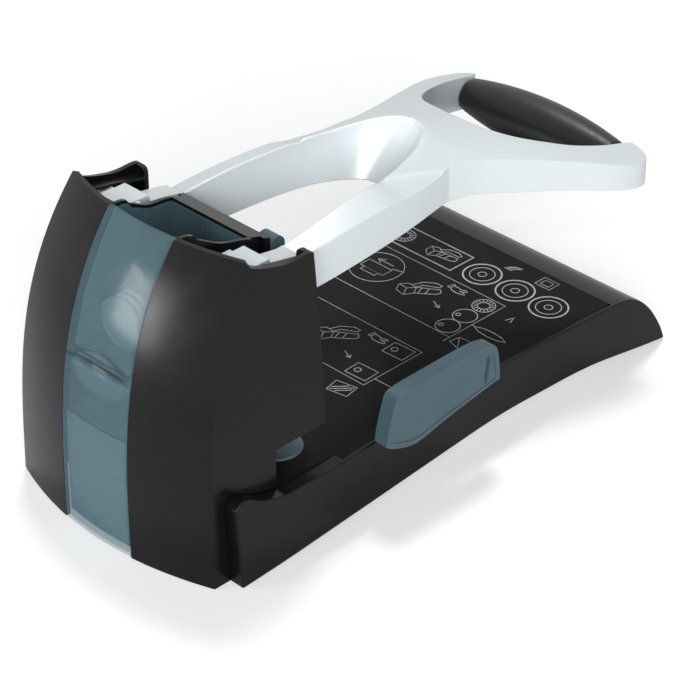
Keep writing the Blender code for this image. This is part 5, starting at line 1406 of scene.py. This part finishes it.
# %% The tree that draws ink
ink_inputs = [("Width", "Float", 0.0004), ("Height", "Float", 0.00008)]
ink_tree, ink_in, ink_out = node_tree("ink_lines", ink_inputs)
to_curve = added(ink_tree, "MeshToCurve")
upright = added(ink_tree, "SetCurveNormal", mode="Z_UP")
sweep = added(ink_tree, "CurveToMesh")
sweep.inputs["Fill Caps"].default_value = True
strip_profile = added(ink_tree, "CurvePrimitiveQuadrilateral")
ink_tree.links.new(ink_in.outputs["Width"], strip_profile.inputs["Width"])
ink_tree.links.new(ink_in.outputs["Height"], strip_profile.inputs["Height"])
ink_tree.links.new(strip_profile.outputs[0], sweep.inputs["Profile Curve"])
ink_real, ink_dress = finishing(ink_tree, printing)
chained(ink_tree, ink_in, to_curve, upright, sweep, ink_real, ink_dress, ink_out)
print("ink's tree:", len(ink_tree.nodes), "nodes")

# %% [markdown]
# A line is a list of places in millimetres. The lines lie just above the plate, and half of a
# strip's height sinks into it, so that the ink has no gap below it.

# %% Inking lines
INK_LEVEL = PLATE_TOP + 0.00002


def inked(lines, width):
    """Thin raised strips along lines on the plate. A line's points are in millimetres."""
    points, edges = [], []
    for line in lines:
        first = len(points)
        points += [(x / 1000, y / 1000, INK_LEVEL) for x, y in line]
        edges += [(index, index + 1) for index in range(first, len(points) - 1)]
    mesh = bpy.data.meshes.new("lines")
    mesh.from_pydata(points, edges, [])
    shape = bpy.data.objects.new("lines", mesh)
    bpy.context.scene.collection.objects.link(shape)
    return grown(ink_tree, shape, {"Width": width})


print("ink's level above the plate, mm:", round(1000 * (INK_LEVEL - PLATE_TOP), 3))

# %% [markdown]
# The drawings are plain motifs, drawn once and set down where they are needed, larger, smaller
# or turned. Most are rings and boxes.

# %% Rings, boxes and moved lines
def ring_line(x, y, radius, steps=36):
    angles = [math.tau * step / steps for step in range(steps + 1)]
    return [(x + radius * math.cos(a), y + radius * math.sin(a)) for a in angles]


def box_line(x0, y0, x1, y1):
    return [(x0, y0), (x1, y0), (x1, y1), (x0, y1), (x0, y0)]


def moved(lines, x, y, scale=1.0, turn=0.0):
    """Lines moved, scaled and turned on the plate."""
    c, s = scale * math.cos(turn), scale * math.sin(turn)
    return [[(x + px * c - py * s, y + px * s + py * c) for px, py in line] for line in lines]


spokes = []
for tooth in range(16):
    angle = math.tau * tooth / 16
    spokes.append([(reach * math.cos(angle), reach * math.sin(angle)) for reach in (3.8, 5.3)])
toothed_disc = [ring_line(0, 0, 6.0), ring_line(0, 0, 3.2, 24), *spokes]
plain_disc = [ring_line(0, 0, 6.3), ring_line(-3.4, -1.4, 1.2, 14)]
sheet = [box_line(-6.5, -5, 6.5, 5), ring_line(-2.6, 0, 1.7, 16)]
arrow = [[(-4, 0), (3, 0)], [(1, 1.6), (3.6, 0), (1, -1.6)]]
print("lines in a toothed disc:", len(toothed_disc))

# %% [markdown]
# The machine and the hand are drawn freely, in a few strokes each.

# %% The small machine and the hand
small_machine = [
    [(-9, -2), (-4, -6), (1, -3), (1, 3), (-4, 6), (-9, 4), (-9, -2)],
    [(-9, 4), (-4, 1), (1, 3)], [(-4, 1), (-4, -6)],
    [(1, -3), (13, -1), (15, 1), (14, 4), (1, 3)],
    [(-2, 5), (3, 9), (10, 10), (14, 8), (13, 6), (4, 6), (0, 3)],
    [(3, -2), (4, 3)], [(7, -1.5), (8, 3.6)],
]
small_hand = [
    [
        (-7, -2), (-3, -3), (1, -2), (5, 0), (6, 1.5), (4, 2), (0, 0.8), (3, 3), (4, 5), (2, 5),
        (-1, 2.5), (-3, 2.8), (-7, 1.5), (-7, -2),
    ],
    [(-7, -2.6), (-9, -3), (-9, 2.4), (-7, 2.2)],
]
print("strokes:", len(small_machine), "and", len(small_hand))

# %% [markdown]
# Two panels of drawings fill the plate's middle. Each shows the machine and a hand. The upper
# one adds cutting discs, and the lower one punched sheets.

# %% Drawings in the two panels
thin_lines = [box_line(-62, 186.6, 36.5, 227.4), box_line(-62, 126.4, 36.4, 167.0)]
thin_lines += [[(36.5, 203), (39, 202.4)], [(36.4, 134), (47, 134.3)], [(36.5, 186.6), (36.4, 182)]]
for y in (206, 147):
    thin_lines += moved(small_machine, -7, y, 0.95, 0.5)
thin_lines += moved([ring_line(0, 0, 14.4, 60)], -36, 209)
thin_lines += moved([box_line(-8, -4, 8, 3), box_line(-5, -7, 5, -4)], -36, 209)
thin_lines += moved(arrow, -36, 215.5, 1.4, math.pi) + moved([[(-15, 4), (-22, 2)]], -7, 211)
thin_lines += moved(toothed_disc, 28.6, 220)
thin_lines += moved(plain_disc, 28.4, 206.4) + moved(plain_disc, 28.6, 193.6)
thin_lines += moved(small_hand, 10, 221, 0.75, -0.3) + moved(small_hand, 13.5, 160, 0.75, -0.3)
thin_lines += moved(sheet, 27.6, 159.6, 1.0, 0.05) + moved(sheet, 27.6, 134, 1.0, 0.05)
thin_lines += moved(arrow, 11, 204, 0.9, -0.4) + moved(arrow, 12, 140, 0.9, -0.4)
print("lines in the panels:", len(thin_lines))

# %% [markdown]
# Beside the panels stand a lens, a loose sheet and a stack of paper, and more discs and sheets.

# %% Drawings beside the panels
lens = [(-10.5, 0), (-6, 1.9), (0, 2.4), (6, 1.9), (10.5, 0), (6, -1.9), (0, -2.4), (-6, -1.9)]
loose_sheet = [[(-7, -4), (0, -6), (7, -4), (5, 3), (-6, 2), (-7, -4)], [(-6, 2), (0, -6)]]
stack = [box_line(-6, -4.5, 6, 4.5), [(-5, -3.4), (5, 3.4)], [(-5, -1.4), (2, 3.6)]]
stack.append([(-2, -3.6), (5, 1.4)])
thin_lines += moved([lens + lens[:1]], 48.8, 202.4) + moved(loose_sheet, 46, 188)
thin_lines += moved(stack, 31, 117, 1, 0.2)
thin_lines += moved(sheet, -30, 134) + moved(sheet, -48, 134) + moved(small_hand, -36, 153, 1.0)
thin_lines += moved(plain_disc, -52, 155) + moved([[(-2, -3), (0, 3), (2, -3)]], 47, 220, 0.8)
print("lines so far:", len(thin_lines))

# %% [markdown]
# Along the handle's end stand three targets with bold rims, a bold panel, and a few small
# signs. Bold and thin ink are two pieces, because each has one width.

# %% The drawings at the handle's end, and the ink
thick_lines = [box_line(-60, 233, -7, 251)]
for x in (7.4, 30.0, 52.5):
    thick_lines.append(ring_line(x, 242, 10.0, 56))
    thin_lines += [ring_line(x, 242, 2.2, 20), ring_line(x, 242, 6.6, 40)]
thin_lines += moved([box_line(-6, -5, 6, 5), box_line(-3.5, -2.6, 3.5, 2.6)], 37, 258.5, 0.8)
thin_lines += moved(small_machine, -23, 241, 0.8)
for offset in (-1.8, -0.6, 0.6, 1.8):
    stroke = [(13 + offset, 254.6), (14.5 + offset, 259.5 - abs(offset)), (19, 261.4 - abs(offset))]
    thin_lines.append(stroke)
thin_lines += moved(toothed_disc, -48, 242)
for name, lines, width in (
    ("thin_printing", thin_lines, 0.00042), ("bold_printing", thick_lines, 0.00085),
):
    settle(inked(lines, width), name, "machine_body", "silver_paint", finish_now=printing)

# %% [markdown]
# ## The grip
# The grip is a rubber spindle between the horns, thickest in its middle. A lathe would cut it
# from a bar, and Geometry Nodes do the same by rule: a line is given a radius at each of its
# points, and a circle is swept along it.

# %% Sums in a tree
def worked(tree, operation, first, second=None):
    """A Math node on two values or sockets, and what comes out of it."""
    node = tree.nodes.new("ShaderNodeMath")
    node.operation = operation
    for index, source in enumerate((first, second)):
        if isinstance(source, (int, float)):
            node.inputs[index].default_value = source
        elif source is not None:
            tree.links.new(source, node.inputs[index])
    return node.outputs[0]


def grip_sum(operation, first, second=None):
    return worked(grip_tree, operation, first, second)


grip_tree, grip_in, grip_out = node_tree("spindle", [
    ("Half Length", "Float", 0.0498), ("Middle Radius", "Float", 0.0141),
    ("End Radius", "Float", 0.0087), ("Points", "Int", 96), ("Sides", "Int", 72),
])
print("grip's inputs:", len(grip_in.outputs) - 1)

# %% [markdown]
# The line runs along the lever's width, and it is cut into even steps. A point's distance from
# the middle, as a share, gives its radius: a parabola for the belly, less a steep power of the
# share that rounds the two ends.

# %% The grip's line and its radii
axis_line = added(grip_tree, "CurvePrimitiveLine")
for socket, sign in (("Start", -1), ("End", 1)):
    corner = grip_tree.nodes.new("ShaderNodeCombineXYZ")
    grip_tree.links.new(grip_sum("MULTIPLY", grip_in.outputs["Half Length"], sign), corner.inputs["X"])
    grip_tree.links.new(corner.outputs[0], axis_line.inputs[socket])
even = added(grip_tree, "ResampleCurve")
grip_tree.links.new(grip_in.outputs["Points"], even.inputs["Count"])
along = added(grip_tree, "SplineParameter")
doubled = grip_sum("MULTIPLY", along.outputs["Factor"], 2.0)
from_middle = grip_sum("ABSOLUTE", grip_sum("SUBTRACT", doubled, 1.0))
middle_radius, end_radius = grip_in.outputs["Middle Radius"], grip_in.outputs["End Radius"]
drop = grip_sum("SUBTRACT", middle_radius, end_radius)
lost = grip_sum("MULTIPLY", drop, grip_sum("POWER", from_middle, 2.0))
belly = grip_sum("SUBTRACT", middle_radius, lost)
end_round = grip_sum("MULTIPLY", grip_sum("POWER", from_middle, 90.0), 0.0009)
print("sums in the grip's tree:", len([n for n in grip_tree.nodes if n.bl_idname == "ShaderNodeMath"]))

# %% [markdown]
# A circle of radius one is swept along the line and scaled by the radius at each point.

# %% The grip's skin
spindle_circle = added(grip_tree, "CurvePrimitiveCircle")
spindle_circle.inputs["Radius"].default_value = 1.0
grip_tree.links.new(grip_in.outputs["Sides"], spindle_circle.inputs["Resolution"])
spindle_skin = added(grip_tree, "CurveToMesh")
spindle_skin.inputs["Fill Caps"].default_value = True
grip_tree.links.new(grip_sum("SUBTRACT", belly, end_round), spindle_skin.inputs["Scale"])
chained(grip_tree, axis_line, even, spindle_skin)
grip_tree.links.new(spindle_circle.outputs[0], spindle_skin.inputs["Profile Curve"])
grip_place = added(grip_tree, "Transform")
grip_place.inputs["Translation"].default_value = (0, ROD[0], ROD[1])
grip_real, grip_dress = finishing(grip_tree, black_rubber)
chained(grip_tree, spindle_skin, grip_place, grip_real, grip_dress, grip_out)
print("grip's tree:", len(grip_tree.nodes), "nodes")

# %% [markdown]
# The finished spindle is bored through for the rod.

# %% The grip
def empty_shape():
    shape = bpy.data.objects.new("shape", bpy.data.meshes.new("shape"))
    bpy.context.scene.collection.objects.link(shape)
    return shape


spindle = grown(grip_tree, empty_shape(), {"Half Length": 0.0498})
spindle = carved(spindle, [turned(((-0.06, 0.0053), (0.06, 0.0053)), ROD, "X")])
settle(spindle, "hand_grip", "lever", "black_rubber", "grip", smooth=40)

# %% [markdown]
# ## The guide, the discs and the lock
# The fence is a slim plate of slate plastic with a soft rim. On its outer face a shallow panel
# is set in, and near its rear end is a short slanted slot. Its outline is a closed spline, and
# the same outline, shrunk, gives the panel.

# %% The fence's outline
FENCE_X = (0.0754, 0.0832)
FENCE_FRONT, FENCE_LENGTH = 0.0945, 0.0772
FENCE_BOTTOM, FENCE_HEIGHT = 0.0328, 0.0327
fence_shares = (
    (0.084, 0.940), (0.150, 0.985), (0.300, 1.000), (0.760, 1.000), (0.890, 0.960), (0.950, 0.905),
    (0.980, 0.750), (0.995, 0.500), (1.000, 0.300), (0.975, 0.270), (0.933, 0.265), (0.555, 0.129),
    (0.260, 0.000), (0.089, 0.098), (0.020, 0.180), (0.000, 0.240), (0.020, 0.500), (0.055, 0.780),
)


def closed_line(controls, steps):
    """A smooth closed curve through the controls."""
    around = [controls[-1], *controls, controls[0], controls[1]]
    points = smooth_line(around, steps)
    return points[steps:-steps - 1]


def shrunk(outline, inset):
    """An outline drawn in towards its middle by an inset at each end."""
    pairs = []
    for axis in (0, 1):
        places = [p[axis] for p in outline]
        middle_place, size = (min(places) + max(places)) / 2, max(places) - min(places)
        pairs.append([middle_place + (at - middle_place) * (1 - 2 * inset / size) for at in places])
    return list(zip(*pairs))


print("points in the fence's outline:", len(closed_line(fence_shares, 4)))

# %% [markdown]
# The soft rim is made first. Then the panel, the pocket that takes the ruler's end, and the
# slanted slot are cut.

# %% The fence
def fence():
    places = [(FENCE_FRONT + FENCE_LENGTH * y, FENCE_BOTTOM + FENCE_HEIGHT * z) for y, z in fence_shares]
    outline = closed_line(places, 4)
    panel = shrunk(outline, 0.0026)
    body = softened(drawn_out(outline, *FENCE_X, "X"), 0.0013, 3, 60)
    slot = [(0.1612, 0.0452), (0.1632, 0.0446), (0.1650, 0.0570), (0.1634, 0.0578), (0.1622, 0.0560)]
    cutters = [
        drawn_out(panel, FENCE_X[1] - 0.0004, 0.09, "X"),
        block((0.070, RULER_FRONT, RULER_FLOOR), (0.0784, RULER_REAR, 0.0359)),
        drawn_out(closed_line(slot, 4), FENCE_X[1] - 0.0024, 0.09, "X"),
    ]
    return softened(carved(body, cutters), 0.00022, 2, 55)


settle(fence(), "fence", "paper_guide", "slate_plastic", "guide_fence", smooth=40)

# %% [markdown]
# Each cutting disc is turned: a flat ring with a shallow groove in its top, between the rim
# and the hub, and a bore for the post that it turns on.

# %% The cutting discs
for side, hand in ((1, "right"), (-1, "left")):
    profile = [
        (0.0361, 0.0018), (0.0361, 0.0126), (0.0365, 0.0130), (0.0379, 0.0130), (0.0383, 0.0126),
        (0.0383, 0.0110), (0.0380, 0.0107), (0.0380, 0.0060), (0.0383, 0.0057), (0.0383, 0.0018),
    ]
    disc = turned(profile, (side * DISC_PLACE[0], DISC_PLACE[1]), "Z", 96, "joined")
    settle(disc, f"{hand}_disc", f"{hand}_disc", "slate_plastic", f"{hand}_cutting_disc")

# %% [markdown]
# The lock is a small slide with a rounded top and three fine grooves for a fingertip. Its bolt
# and its stem are welded on.

# %% The lock's knob
def lock():
    front, rear = 0.0743, 0.0837
    middle_y, radius = (front + rear) / 2, (rear - front) / 2
    outline = [(front, 0.121), (rear, 0.121)]
    for step in range(21):
        angle = math.pi * step / 20
        outline.append((middle_y + radius * math.cos(angle), 0.1318 + radius * math.sin(angle)))
    knob = drawn_out(outline, 0.0190, 0.0284, "X")
    grooves = []
    for at in (0.0210, 0.0232, 0.0254):
        grooves.append(block((at, rear - 0.0005, 0.123), (at + 0.0006, rear + 0.002, 0.133)))
    knob = softened(carved(knob, grooves), 0.0005, 2, 50)
    bolt = turned(((0.0278, 0.0026), (0.0320, 0.0026), (0.0324, 0.0022)), BOLT, "X", 32)
    stem = block((0.0193, 0.068, 0.126), (0.0233, 0.0753, 0.130))
    return welded([knob, bolt, stem])


settle(lock(), "lock", "lock", "slate_plastic", "lock_button")

# %% [markdown]
# ## The working parts
# The punch frames are bent steel plate, so a soft copy of the solid is true to them. Each one's
# web, and the paper stop between them, end a little short of the throat's open side, where the
# photograph shows the disc and no metal in front of it. The frame's ears are trimmed flat
# above the axle, under the covers' rims. The pan below is a soft copy too.

# %% Punch frames and pan
def copy_piece(node_name, name, body, slot_name, width, cutters=()):
    """A soft copy of a solid, with cuts, in its place."""
    return settle(soft_copy(node_name, width, cutters), name, body, slot_name, node_name)


for side, hand in ((1, "right"), (-1, "left")):
    notch = mirrored(block((0.0410, 0.0420, 0.0400), (0.0600, 0.0500, 0.0560)), side)
    ear_tops = mirrored(block((0.0200, 0.0200, 0.1430), (0.0600, 0.0600, 0.1600)), side)
    copy_piece(
        f"{hand}_punch_frame", f"{hand}_steel_frame", "machine_body", "zinc_steel", 0.0003,
        [notch, ear_tops],
    )
    copy_piece(f"{hand}_chip_chute", f"{hand}_chute", "machine_body", "black_plastic", 0.0003)
    copy_piece(f"{hand}_yoke", f"{hand}_yoke_block", f"{hand}_punch_unit", "zinc_steel", 0.0003)
copy_piece("base_pan", "bottom_pan", "machine_body", "zinc_steel", 0.0003)
stop_ends = []
for side in (1, -1):
    stop_ends.append(mirrored(block((0.0300, 0.0500, 0.0300), (0.0700, 0.0600, 0.0600)), side))
copy_piece("paper_stop", "stop_strip", "machine_body", "zinc_steel", 0.0002, stop_ends)
copy_piece("guide_ruler", "ruler", "paper_guide", "zinc_steel", 0.0002)

# %% [markdown]
# Feet, posts, punches, the grip's rod and the spare discs are all turned parts. A few stations
# of place and radius draw each of them, with the small chamfers that a real one has.

# %% Where the turned parts stand
def middle_of(node_name):
    """The middle of a solid's box in the machine's frame."""
    low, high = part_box(node_name)
    return (Vector(low) + Vector(high)) / 2 - machine_shift


def span_of(node_name, axis):
    low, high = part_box(node_name)
    return low[axis] - machine_shift[axis], high[axis] - machine_shift[axis]


print("grip's rod ends, mm:", [round(1000 * end, 1) for end in span_of("grip_rod", 0)])

# %% [markdown]
# The four feet are rubber buttons, round at their lower edge.

# %% The feet
for word in ("front_right", "front_left", "rear_right", "rear_left"):
    node = f"{word}_foot"
    spot, top = middle_of(node), span_of(node, 2)[1]
    stations = ((0.0001, 0.0062), (0.0003, 0.0068), (0.0011, 0.0077), (0.0022, 0.0080), (top, 0.0080))
    foot = turned(stations, (spot.x, spot.y), "Z")
    settle(foot, f"{word}_rubber_foot", "machine_body", "black_rubber", node)

# %% [markdown]
# Each cutting disc turns on a post with a flat head below and a thin pin above. Each punch is
# a tube, ground thin at its lower rim, which cuts.

# %% Posts, punches and the grip's rod
for hand in ("right", "left"):
    spot = middle_of(f"{hand}_disc_post")
    low, high = span_of(f"{hand}_disc_post", 2)
    post = [
        (low, 0.0022), (low + 0.0003, 0.0028), (low + 0.0006, 0.0030), (low + 0.0015, 0.0030),
        (low + 0.0015, 0.0015), (high - 0.0003, 0.0015), (high, 0.0012),
    ]
    post_shape = turned(post, (spot.x, spot.y), "Z", 40)
    settle(post_shape, f"{hand}_post", "machine_body", "bright_steel", f"{hand}_disc_post")
    spot = middle_of(f"{hand}_punch")
    low, high = span_of(f"{hand}_punch", 2)
    tube = [
        (low, 0.0025), (low, 0.0030), (high - 0.0003, 0.0030), (high, 0.0027),
        (high, 0.0023), (low + 0.0004, 0.0023),
    ]
    tube_shape = turned(tube, (spot.x, spot.y), "Z", 48, "joined")
    settle(
        tube_shape, f"{hand}_hollow_punch", f"{hand}_punch_unit", "bright_steel", f"{hand}_punch",
    )

low, high = span_of("grip_rod", 0)
bar = [(low, 0.0044), (low + 0.0006, 0.0050), (high - 0.0006, 0.0050), (high, 0.0044)]
settle(turned(bar, ROD, "X", 40), "rod", "lever", "bright_steel", "grip_rod")

# %% [markdown]
# Three spare discs are kept in the tower, each a ring with a shallow groove in its front face.

# %% Spare discs
for number in (1, 2, 3):
    node = f"spare_disc_{number}"
    spot = middle_of(node)
    low, high = span_of(node, 1)
    ring = [
        (low, 0.0018), (low, 0.0057), (low + 0.0003, 0.0060), (low + 0.0003, 0.0107),
        (low, 0.0110), (low, 0.0126), (low + 0.0004, 0.0130), (high - 0.0004, 0.0130),
        (high, 0.0126), (high, 0.0018),
    ]
    spare = turned(ring, (spot.x, spot.z), "Y", 72, "joined")
    settle(spare, f"spare_{number}", "machine_body", "slate_plastic", node)

# %% [markdown]
# ## The screws
# Eight screws hold the pan. One rule makes them all: a head, a shank and a cross in the head,
# which are Geometry Nodes' own primitives, and one copy of that screw on each point of a list.
# A new place in the list is a new screw.

# %% Primitives for the screws' tree
HEAD_HEIGHT = 0.0024
screw_tree, screw_in, screw_out = node_tree("screws", [
    ("Head Radius", "Float", 0.0034), ("Head Height", "Float", HEAD_HEIGHT),
    ("Shank Radius", "Float", 0.0017), ("Shank Length", "Float", 0.0080),
    ("Cross Width", "Float", 0.0009),
])


def lifted(shape_socket, source_name, share):
    """A primitive moved up or down by a share of one of the tree's inputs."""
    offset = screw_tree.nodes.new("ShaderNodeCombineXYZ")
    distance = worked(screw_tree, "MULTIPLY", screw_in.outputs[source_name], share)
    screw_tree.links.new(distance, offset.inputs["Z"])
    move = added(screw_tree, "Transform")
    screw_tree.links.new(offset.outputs[0], move.inputs["Translation"])
    screw_tree.links.new(shape_socket, move.inputs["Geometry"])
    return move.outputs[0]


def screw_cylinder(radius_name, depth_name, upwards):
    cylinder = added(screw_tree, "MeshCylinder")
    cylinder.inputs["Vertices"].default_value = 40
    screw_tree.links.new(screw_in.outputs[radius_name], cylinder.inputs["Radius"])
    screw_tree.links.new(screw_in.outputs[depth_name], cylinder.inputs["Depth"])
    return lifted(cylinder.outputs["Mesh"], depth_name, upwards)


def cross_bar(long_side, short_side):
    """One bar of the cross, which reaches past the head."""
    size = screw_tree.nodes.new("ShaderNodeCombineXYZ")
    reach = worked(screw_tree, "MULTIPLY", screw_in.outputs["Head Radius"], 1.25)
    screw_tree.links.new(reach, size.inputs[long_side])
    screw_tree.links.new(screw_in.outputs["Cross Width"], size.inputs[short_side])
    screw_tree.links.new(screw_in.outputs["Head Height"], size.inputs["Z"])
    cube = added(screw_tree, "MeshCube")
    screw_tree.links.new(size.outputs[0], cube.inputs["Size"])
    return lifted(cube.outputs["Mesh"], "Head Height", -1.15)


print("screws' inputs:", len(screw_in.outputs) - 1)

# %% [markdown]
# The head loses the cross, and the shank joins it. The whole screw is then set on each point,
# with its head downwards.

# %% The tree that sets screws
screw_join = added(screw_tree, "JoinGeometry")
screw_cross = added(screw_tree, "MeshBoolean", operation="DIFFERENCE")
screw_tree.links.new(screw_cylinder("Head Radius", "Head Height", -0.5), screw_cross.inputs[0])
for sides in (("X", "Y"), ("Y", "X")):
    screw_tree.links.new(cross_bar(*sides), screw_cross.inputs[1])
screw_tree.links.new(screw_cross.outputs[0], screw_join.inputs[0])
screw_tree.links.new(screw_cylinder("Shank Radius", "Shank Length", 0.5), screw_join.inputs[0])
screw_copies = added(screw_tree, "InstanceOnPoints")
screw_tree.links.new(screw_in.outputs["Geometry"], screw_copies.inputs["Points"])
screw_tree.links.new(screw_join.outputs[0], screw_copies.inputs["Instance"])
screw_real, screw_dress = finishing(screw_tree, finishes["zinc_steel"])
chained(screw_tree, screw_copies, screw_real, screw_dress, screw_out)
print("screws' tree:", len(screw_tree.nodes), "nodes")

# %% [markdown]
# Four screws hold the pan to the punch frames, and four longer ones to the base's bosses. Each
# stands where its solid stands in the frame.

# %% The screws
def screw_set(word, length):
    nodes = [f"{word}_screw_{number}" for number in (1, 2, 3, 4)]
    tops = [middle_of(node) for node in nodes]
    low = span_of(nodes[0], 2)[0]
    mesh = bpy.data.meshes.new("places")
    mesh.from_pydata([(spot.x, spot.y, low + HEAD_HEIGHT) for spot in tops], [], [])
    shape = bpy.data.objects.new("places", mesh)
    bpy.context.scene.collection.objects.link(shape)
    grown(screw_tree, shape, {"Shank Length": length})
    return settle(shape, f"{word}_screws", "machine_body", "zinc_steel", *nodes)


screw_set("frame", 0.0080)
screw_set("base", 0.0120)

# %% [markdown]
# ## The end
# The object's size is fixed by the frame.

# %% Compare the boxes
dressed_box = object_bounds()
for word, (low, high) in (("frame", cad_box), ("dressed", dressed_box)):
    print(word, "size, mm:", [round(1000 * v, 1) for v in high - low])
